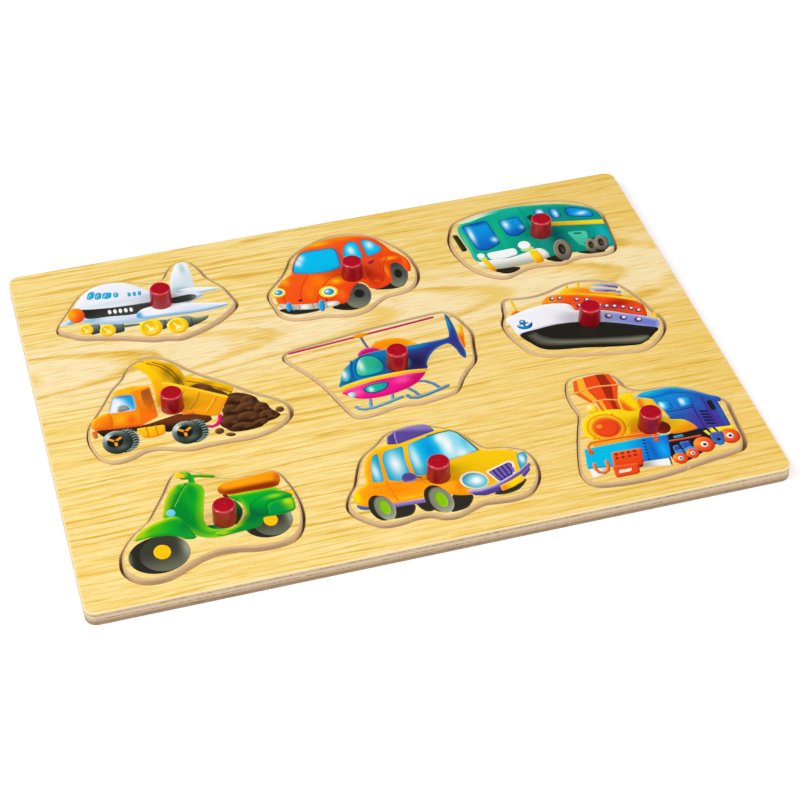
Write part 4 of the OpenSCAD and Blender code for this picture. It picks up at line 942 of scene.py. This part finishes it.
def draw_taxi(lay):
    """A taxi with a plain roof box, which faces right and towards the viewer."""
    for loop in (
        (19, 7, 24, 5.8, 29.6, 7, 32, 13, 24, 15), (33, 14, 35.6, 7.4, 40, 6.4, 42, 12, 38, 15),
        (48, 4, 53, 2.6, 58.4, 4.6, 62, 11.6, 54, 16), (73, 9.4, 78, 7.4, 86, 9, 91.6, 15, 84, 14),
    ):
        lay(smooth(*loop), "#2e2c24", ("#45433a", "#4a483c", 1.2))
    lay(smooth(3.8, 20.6, 5, 17.4, 9, 15.8, 11.6, 17, 7, 20.6), "#3c6aa4",
        ("#7aa4d0", "#2a3a74", 1.2))
    lay(rounded(1, 20, 16.8, 41, 15.8, 40, 12.8, 20, 14), "#8c76b6", ("#b4a2d2", "#5c4890", 1))
    lay(smooth(4, 22, 3.8, 27, 7, 31.6, 12.4, 35, 13.6, 42, 16, 50, 20, 56, 26, 59, 36, 61, 48, 63,
        58, 63.4, 65, 62.4, 69.6, 57.4, 73, 49.4, 76, 42.6, 84, 40.4, 92, 36.4, 95.6, 31, 95, 24,
        90, 18.4, 78, 14, 64, 11.8, 56, 13, 48, 16, 30, 16.6, 14, 17, 7, 19), "#fba00c",
        ("#fcd424", "#e8860c", 2.4), fade=("#f8c40c", 40, 24, 56, 38),
        glows=[(26, 26, 12, 4, "#fc8c08"), (78, 36, 9, 3, "#f9c80c"), (5.6, 26, 2, 5, "#fbde10"),
        (30, 18.6, 12, 1.2, "#fdbc1c"), (22, 58, 4, 1.6, "#fcc41a"), (72, 22, 3, 4, "#f8961a"),
        (58, 20, 3, 5, "#f2820e")])
    lay(stroke(0.7, 22.8, 33, 23.6, 26, 24.8, 18), "#ee7c0c")
    lay(stroke(0.9, 15, 30.4, 30, 30.4, 44, 29.4, 54, 30), "#f0860c")
    for x, y, wide, high in ((14.8, 15.6, 5.4, 9.6), (44.2, 14, 6.2, 10.2)):
        lay(oval(x, y, wide, high, 6), "#2c2b24")
    for x, y, wide, high in ((17, 15, 5, 9.2), (45.8, 12.6, 5.8, 9.8)):
        lay(oval(x, y, wide, high, 6), "#84866f", ("#55574a", "#b2b49e", 1.2),
            fade=("#a0a28c", x, y - high * 0.3, x + 1, y - high))
        lay(oval(x, y + 0.4, wide * 0.5, high * 0.6, 6), "#86c40c", ("#5c8c12", "#a4dc1c", 1.1))
    for points, glow, wide, high in (
        ((16, 34.4, 18, 46, 20.6, 53.4, 24, 55.2, 23, 46, 21.8, 33.6), (19.4, 42, "#d8eef2"), 2,
         7.4),
        ((24.2, 34, 25, 50, 27.4, 55.4, 38, 56.8, 36.2, 46, 36.2, 33, 29.4, 31.4),
         (30.8, 44.4, "#eef2f4"), 4.2, 10.4),
    ):
        lay(rounded(1.6, *points), "#12a6cc", ("#0888b4", "#0c8cb8", 0.9),
            glows=[(*glow[:2], wide, high, glow[2])])
    lay(rounded(1.8, 38.2, 33.4, 38.6, 46, 40.4, 57, 50, 60, 64.6, 61.8, 68.6, 58.6, 74.8, 42.4,
        60, 40, 50, 36.4, 42, 32), "#0cb2de", ("#0c88ac", "#0f7c9c", 0.8),
        fade=("#8ad8ea", 54, 48, 58, 48), glows=[(41.6, 46, 2.6, 12, "#cfe8ee"),
        (50.4, 50, 2.6, 10, "#0696dc"), (60.4, 51, 2.8, 9, "#f6f8f8"), (66, 43, 3.2, 4, "#e4f0f2"),
        (58, 57, 3, 4, "#eef4f5"), (69.4, 51, 1.8, 6, "#5fc8e0")])
    lay(stroke(0.8, 52, 60.6, 58, 61.3, 64.4, 61.6, 68, 58.6, 71.4, 51, 74.6, 42.8), "#0f5f60",
        ("#155a50", "#0f7080", 0.4))
    lay(rounded(1.4, 30.4, 60, 32, 66, 36, 68.8, 46, 70.4, 53.4, 69.8, 55.4, 68, 57.2, 63.4, 46, 61,
        36, 58.8), "#5c4696", ("#a090cc", "#463484", 0.9), fade=("#8878ba", 42, 66, 43, 70))
    lay(rounded(1, 30.6, 60, 32.4, 66.4, 35.6, 67.4, 35.4, 59.2), "#503c8c",
        ("#8a78ba", "#43307a", 0.9))
    lay(stroke(0.6, 35.7, 59.4, 35.9, 64, 36.6, 67.8), "#a294cc")
    lay(smooth(30.8, 33, 33, 36.4, 37, 35.6, 38.8, 32, 36.4, 29.8, 32, 30), "#5a4494",
        ("#6c5aa6", "#a692c6", 1.3))
    lay(stroke(0.7, 38.4, 32.2, 40.8, 31), "#3a2c20")
    lay(oval(66, 21.5, 7.6, 6.5, -30), "#fdebd0", ("#fff6ea", "#e8a84a", 0.7))
    lay(oval(66.2, 21.3, 6.6, 5.6, -30), "#2fa6c2", ("#0a7c9c", "#46bcd4", 1.2),
        glows=[(67, 21.2, 4.4, 4.2, "#fdfefe")])
    lay(smooth(91.4, 29, 92.6, 34, 96.6, 34.6, 97, 30, 94, 25, 91, 22.4, 91, 25.6), "#38a8c4",
        ("#0f86a8", "#0f86a8", 0.9), glows=[(94, 30, 1.5, 3.2, "#f6fafa")])
    lay(rounded(1.2, 73, 26, 87, 30.8, 89.6, 28.6, 87.6, 19.4, 77.8, 15.8), "#fde8cc",
        ("#ffffff", "#f0b070", 0.6))
    lay(rounded(0.8, 74.6, 25.4, 86.6, 29.6, 88, 27.8, 86.2, 20.4, 78.4, 17), "#3c2c78")
    for at in range(5):
        x, y = 76.2 + at * 2.5, 25.2 + at * 0.8
        lay(stroke(1.5, x, y - 0.4, x + 0.9, y - 4, x + 2 - at * 0.3, y - 6.8 + at * 0.2),
            "#7462b0", ("#8c7cc4", "#5a4698", 0.5))
    lay(rounded(1, 61.4, 14.8, 66, 13.4, 78, 14, 77, 10.4, 68, 9.2, 62.6, 11), "#553c8c",
        ("#7662ac", "#3c2a70", 1))
    lay(stroke(2.4, 61.6, 14, 67, 13.4, 74, 14.4, 82, 17, 90, 20.6, 96, 25), "#a496cc",
        ("#d2caea", "#5e4a9a", 1.2), fade=("#5a4494", 80, 18, 82, 15))
    lay(rounded(0.8, 90, 19, 96, 24, 95.6, 21, 91, 16.4), "#5c4696", ("#8c7cba", "#43307a", 0.8))
    lay(rounded(1, 77.2, 13.8, 84, 16, 90.4, 19, 90.4, 14.4, 84, 11.4, 77.2, 9.8), "#fad40c",
        ("#fdea4a", "#e0960c", 0.8), fade=("#f98c1c", 83, 14, 79, 12))


def draw_train(lay):
    """A steam locomotive that faces left and towards the viewer."""
    lay(smooth(56, 29, 70, 29.6, 80, 29, 84, 26, 84, 16, 78, 14, 68, 9, 58, 6, 53, 10), "#1d1c22")
    lay(rounded(1, 60, 28, 66, 28, 66, 25.8, 60, 25.8), "#2f8fc0", ("#5fc0e0", "#1c5590", 0.8))
    lay(stroke(1.5, 57, 24.6, 66, 24.2, 75, 24), "#e0401c", ("#f68050", "#9c2410", 0.8))
    for points, code in (
        ((56.6, 20, 60.4, 20.6, 61, 12.6, 56, 13), "#3448a4"),
        ((61.4, 22, 67.4, 22, 67, 14, 62, 14), "#3450b0"),
        ((56, 15.6, 61, 16.4, 61.6, 12.4, 56.6, 11.6), "#1784d4"),
        ((61.4, 15.4, 66, 17.6, 70.4, 14.8, 69, 11.6, 63, 12), "#1c8ede"),
    ):
        lay(rounded(1, *points), code, ("#4fb0ee", "#1c2a6c", 1.1))
    lay(rounded(1, 78, 27.4, 96.2, 27.4, 95.4, 23.4, 88, 22.4, 80, 22.6), "#f8e010",
        ("#ffee5a", "#d0a80c", 0.8))
    for x in (80.6, 84.8):
        lay(stroke(1.4, x, 28.6, x + 1.6, 22.6), "#2a2418")
    for x, y, size in ((74.4, 16.4, 6.4), (65.4, 11.4, 4.1), (57.4, 9.4, 4.6), (91, 19.2, 6.3)):
        lay(oval(x, y, size * 0.94, size), "#f4501c", ("#fd8a2c", "#ba2c12", size * 0.45),
            glows=[(x - size * 0.5, y + size * 0.4, size * 0.4, size * 0.5, "#fd9a34")])
        lay(oval(x + 0.3, y, size * 0.36, size * 0.4), "#f6f0e6", ("#ffffff", "#7a4a3a", 0.8))
        lay(oval(x + 0.4, y, size * 0.17), "#201a18")
    lay(smooth(80.6, 24, 84, 24.6, 88, 24, 87.6, 19, 85.6, 14.2, 82.6, 13.4, 80.6, 17), "#4458a8",
        ("#7a90d0", "#28307c", 1.2), fade=("#158ada", 83, 20, 84, 14))
    lay(oval(84, 18.2, 1.1), "#14141c")
    lay(rounded(1.6, 54, 62, 60, 66, 72, 66, 84, 62, 95.6, 52.4, 95.2, 27.2, 80, 29, 62, 30),
        "#1488d6", ("#2aa0e0", "#2a2f7c", 1.6), fade=("#46389c", 62, 56, 84, 36),
        glows=[(84, 52, 3, 8, "#1f62b8"), (93.6, 40, 1.4, 10, "#1f6ab8"), (68, 40, 5, 5, "#2456b0"),
        (90, 54, 4, 3, "#2a50a8")])
    lay(stroke(0.8, 80.6, 56, 80, 44, 80, 30), "#2f2478")
    lay(stroke(0.8, 88, 55, 87.8, 44, 88, 30), "#3a2c80")
    lay(stroke(0.8, 64, 48.4, 72, 48.2, 80, 48.2), "#1c3288")
    lay(smooth(50.6, 63.8, 52.6, 66.6, 57, 68.6, 66, 68.8, 75, 67.8, 84, 62.8, 92, 56.6, 97.6, 52.4,
        97.4, 48.6, 94.6, 49.6, 88, 55.6, 80, 61, 72, 62.6, 61, 62.2, 55, 63), "#0c92d6",
        ("#30c4ea", "#10489c", 1.8), fade=("#2b55b0", 72, 66, 92, 54),
        glows=[(58, 67, 6, 1.2, "#22b8e0"), (72, 64.4, 5, 1.6, "#0b6cc0")])
    for x in (61, 73.2):
        lay(rounded(1.6, x, 50, x, 58.2, x + 8, 58, x + 8, 50.2), "#12a4e6",
            ("#0f3f8c", "#0f3f8c", 0.9), fade=("#0c78c8", x + 4, 54, x + 8, 52),
            glows=[(x + 2.4, 54.8, 1.7, 3.2, "#f4fbff")])
    for at in range(5):
        lay(stroke(1.5, 82.8, 43.6 - at * 2.7, 86.6, 42.4 - at * 2.7), "#1c1c40")
    lay(rounded(0.8, 89.4, 51, 92.4, 51, 92.4, 42.4, 89.2, 42.6), "#1c1f26")
    lay(smooth(51, 64, 56, 63.6, 60, 61, 61, 56, 63.4, 48, 63.4, 42, 56, 40, 50, 46), "#f9c41c",
        ("#fde250", "#e89a10", 1.6), fade=("#ea6c16", 56, 58, 51, 58),
        glows=[(62, 46, 1.4, 3, "#fbe48a")])
    lay(smooth(60, 42, 66, 41.4, 71, 39.6, 74, 36, 75.6, 32.6, 74.6, 30, 60, 30.4), "#fbc814",
        ("#fde040", "#d8780c", 1.8), fade=("#f28f12", 66, 38, 68, 31))
    lay(oval(56.6, 36.8, 5, 5.4), "#7c2016", ("#c8541c", "#3c120c", 1.2),
        fade=("#c84a1c", 57, 35, 52, 33))
    lay(smooth(24, 59.6, 34, 60.2, 44, 58.4, 52, 54, 54, 46, 50, 38, 40, 32, 30, 33), "#f8d40c",
        ("#fdee3a", "#e88a10", 2.4), fade=("#f08414", 42, 52, 48, 38))
    lay(smooth(40.6, 57.6, 40.8, 64, 42, 69, 45.6, 70, 50, 69.6, 50.4, 63, 50.2, 56, 45, 54.6),
        "#fbd60c", ("#fdea2c", "#f0b010", 1.6), fade=("#ee5c16", 46, 63, 41.6, 61))
    facets = ((0, 0.12, "#ee641c"), (0.12, 0.3, "#fbb02c"), (0.3, 0.64, "#ee4a1c"),
        (0.64, 0.87, "#a62a10"), (0.87, 1, "#ee521a"))
    rows = ((28, 68, 40.4, 66.6, 28.6, 59.6, 39.8, 57.6),
        (18.4, 78.4, 45.2, 78.8, 25, 68, 40.6, 66), (21, 89, 43.6, 89.6, 18.6, 79, 45.4, 79.4))
    for left, high, right, tall, foot, low, toe, deep in rows:
        for start, end, code in facets:
            facet = [
                (first + (last - first) * at, height + (drop - height) * at + swell * at * (1 - at))
                for first, height, last, drop, swell, ends in (
                    (left, high, right, tall, 8, (start, end)),
                    (foot, low, toe, deep, 4, (end, start)),
                ) for at in ends
            ]
            lay(np.array(facet), code)
    for points in (
        (18.6, 78.6, 25, 80.4, 33, 81, 45.4, 79), (25.4, 67.8, 29, 68.8, 34, 68.8, 40.6, 66.4),
    ):
        lay(stroke(1.2, *points), "#f9a84a", ("#fdd08a", "#e0641c", 0.5))
    lay(oval(24, 62.8, 3.4, 4.1), "#f9cf12", ("#fdf08a", "#e8980c", 2),
        glows=[(23, 64.4, 1.6, 1.6, "#fefcd8")])
    for size, code, light, dark in (
        (13.8, "#fad80e", "#fdec2c", "#f2b00e"), (11.4, "#f68a10", "#f8a014", "#ee7410"),
        (10.4, "#fbb81a", "#fdcc30", "#f08c10"), (8.5, "#f07014", "#f88c1c", "#e25a12"),
        (7.4, "#f0481c", "#f8701c", "#c82c10"),
    ):
        lay(oval(26.4, 45.6, size, size * 1.02), code, (light, dark, 1.8))
    lay(oval(22.8, 47.4, 1.8), "#fb9420", ("#fdb030", "#f4701c", 1.8))
    for x, y in ((33.4, 55.6), (38.8, 43.6), (16.6, 38.4), (35.6, 37.2)):
        lay(oval(x, y, 0.5, 0.9, -30), "#e8860e")
    lay(rounded(0.8, 13, 35, 50, 34.8, 54, 31, 15, 31), "#f6a01a", fade=("#e0601a", 30, 34, 48, 33))
    lay(rounded(1, 5, 8, 5.4, 15.6, 14, 14, 14, 9), "#f2f0ee", fade=("#b0a894", 9, 12, 14, 9))
    lay(rounded(0.6, 32, 12.6, 51.6, 12.4, 51, 5.2, 44, 6.6, 31, 9), "#f4f4f0",
        ("#e0e0d8", "#c0bcae", 0.9), fade=("#a8a48c", 46, 9, 35, 10))
    lay(stroke(0.8, 51.8, 12, 51, 6), "#1f1d24")
    lay(rounded(1.2, 4.4, 15.8, 8, 31.8, 42, 31.8, 57.8, 30.4, 52.6, 11.4, 40, 12.4, 22, 13.4),
        "#06bae4", ("#40d0f0", "#3a48a8", 1.2), fade=("#0c74d0", 28, 26, 44, 20),
        glows=[(51, 19, 3.4, 8, "#10a6f0"), (45, 20, 1.6, 9, "#0a62bc")])
    for at in range(7):
        lay(oval(42.8 - at * 0.42, 29.4 - at * 2.6, 0.9, 0.7), "#0c3484")
    lay(stroke(1.9, 11, 28.4, 10.8, 33, 13.4, 36, 26, 35.8, 38, 35, 49, 34.4, 50, 32, 50, 28),
        "#f3741c", ("#fdb04a", "#b8420f", 0.9))
    for x in (11, 50):
        lay(oval(x, 28.2, 1.7, 2), "#e8601c", ("#a83a14", "#702010", 0.8))
    lay(stroke(2.3, 9.4, 18.6, 8.8, 14.6, 9.8, 11.6, 12.6, 10.4, 15.2, 11.6, 16.4, 14.6,
        16.8, 18.8), "#f0762c", ("#fca85a", "#8e3410", 1))
    lay(rounded(1, 33, 18, 37.6, 15, 35, 9, 31, 8.4), "#7c2814")
    lay(rounded(1.6, 21.8, 25, 39.6, 24, 36, 10.6, 19, 12.6), "#f6521c",
        ("#fd8638", "#c83014", 1.4), fade=("#e63e16", 28, 24, 30, 11))
    for row, column in ((row, column) for row in range(2) for column in range(4)):
        x, y = 24 + column * 3.6 - row * 0.6, 22.6 - column * 0.1 - row * 3.2
        lay(oval(x, y, 1.1), "#9c2418", ("#6c1810", "#e0502c", 0.6))
    lay(rounded(2, 18.4, 14, 33.6, 12.6, 31.4, 4.2, 17.4, 4.4), "#f0481a",
        ("#fd7c34", "#b42810", 1.5))
    lay(rounded(1, 20.4, 10.6, 28.6, 10.4, 27.4, 7.4, 19.8, 7.6), "#f8e6c0",
        ("#7c1c10", "#fbeed0", 1))


def add_stage():
    """A white floor that keeps the shadow, and adds a little light of its own to it."""
    size, own_light = 6.0, 0.22
    mesh = bpy.data.meshes.new("floor")
    corners = [(-size, -size, 0), (size, -size, 0), (size, size, 0), (-size, size, 0)]
    mesh.from_pydata(corners, [], [(0, 1, 2, 3)])
    floor = bpy.data.objects.new("floor", mesh)
    bpy.context.scene.collection.objects.link(floor)
    paint = Paint("floor_white")
    paint.finish(linear("#f7f7f7"), 0.9, specular=0.1)
    rays = paint.node("LightPath").outputs
    seen = paint.math("MAXIMUM", rays["Is Camera Ray"], rays["Is Glossy Ray"])
    seen = paint.math("MAXIMUM", seen, rays["Is Transmission Ray"])
    lift = paint.node("Emission", {"Color": (1, 1, 1, 1), "Strength": own_light}).outputs[0]
    nothing = paint.node("Emission", {"Strength": 0.0}).outputs[0]
    glow = paint.node("MixShader", {0: seen, 1: nothing, 2: lift}).outputs[0]
    both = paint.node("AddShader", {0: paint.shader.outputs[0], 1: glow}).outputs[0]
    paint.feed(paint.tree.nodes["Material Output"].inputs["Surface"], both)
    set_material(floor, paint.material)


def add_light():
    """Studio light: a pale room with a dark patch where the board's top would mirror it, a tall
    soft box on either side and a small one over the near side."""
    studio = Paint("studio", bpy.data.worlds)
    bpy.context.scene.world = studio.material
    patch_way, patch_edges = (0.19, 0.73, 0.656), (0.5, 0.9)
    room_light, patch_light = 0.5, 0.05
    way = studio.node("TexCoord").outputs["Generated"]
    behind = studio.node("VectorMath", {0: way, 1: patch_way}, operation="DOT_PRODUCT")
    room = studio.step(behind.outputs["Value"], *patch_edges, room_light, patch_light)
    rays = studio.node("LightPath").outputs
    seen = studio.math("MAXIMUM", rays["Is Camera Ray"], rays["Is Transmission Ray"])
    strength = studio.math("MULTIPLY_ADD", seen, studio.math("SUBTRACT", 1.0, room), room)
    background = studio.tree.nodes["Background"].inputs
    studio.feed(background["Color"], (1, 1, 1, 1))
    studio.feed(background["Strength"], strength)
    for name, place, wide, high, power in (
        ("left", (-1.05, -0.10, 0.90), 0.34, 1.2, 10.8),
        ("right", (0.98, -0.45, 0.88), 0.34, 1.2, 7.2),
        ("near", (-0.28, -0.85, 1.20), 1.0, 0.4, 4.0),
    ):
        data = bpy.data.lights.new(name, "AREA")
        data.shape = "RECTANGLE"
        data.size, data.size_y = wide, high
        data.energy = power
        lamp = bpy.data.objects.new(name, data)
        lamp.location = place
        lamp.rotation_euler = (-Vector(place)).to_track_quat("-Z", "Y").to_euler()
        bpy.context.scene.collection.objects.link(lamp)


add_camera()
add_stage()
add_light()

DRAWINGS = {
    "plane": draw_plane, "car": draw_car, "bus": draw_bus,
    "dump_truck": draw_dump_truck, "helicopter": draw_helicopter, "ship": draw_ship,
    "scooter": draw_scooter, "taxi": draw_taxi, "train": draw_train,
}
# Plies as pairs of height in millimetres and colour, and glue seams as heights
board_plies = [
    (2.0, "#a0866c"), (2.3, "#c6ab8c"), (3.3, "#cab090"), (3.7, "#dcc5a6"),
    (4.6, "#dec6a6"), (5.2, "#d0b896"), (5.9, "#d4bc96"), (6.8, "#f2daa4"),
]
board_seams = (3.3, 5.5)
tile_plies = [
    (2.0, "#eed2aa"), (3.4, "#f4d8b0"), (3.9, "#e0c098"), (5.2, "#f0d4aa"),
    (5.8, "#e2c298"), (7.0, "#e4c89e"), (8.0, "#dabc92"),
]
board_wood = printed_wood("board_wood", board_plies, "#f3dfb4", pockets=True, seams=board_seams)
tile_wood = printed_wood("tile_wood", tile_plies, "#d4b284")
back_wood = raw_board("back_wood")
knob_red = knob_plastic("knob_red")
ink = picture_ink("ink")
set_material(nodes["face_board"], board_wood)
set_material(nodes["back_board"], back_wood)
for vehicle, draw in DRAWINGS.items():
    set_material(nodes[vehicle + "_tile"], tile_wood)
    set_material(nodes[vehicle + "_knob"], knob_red)
    picture = Picture(vehicle)
    draw(picture.lay)
    picture.print(ink)

bpy.context.scene.view_settings.view_transform = "Standard"
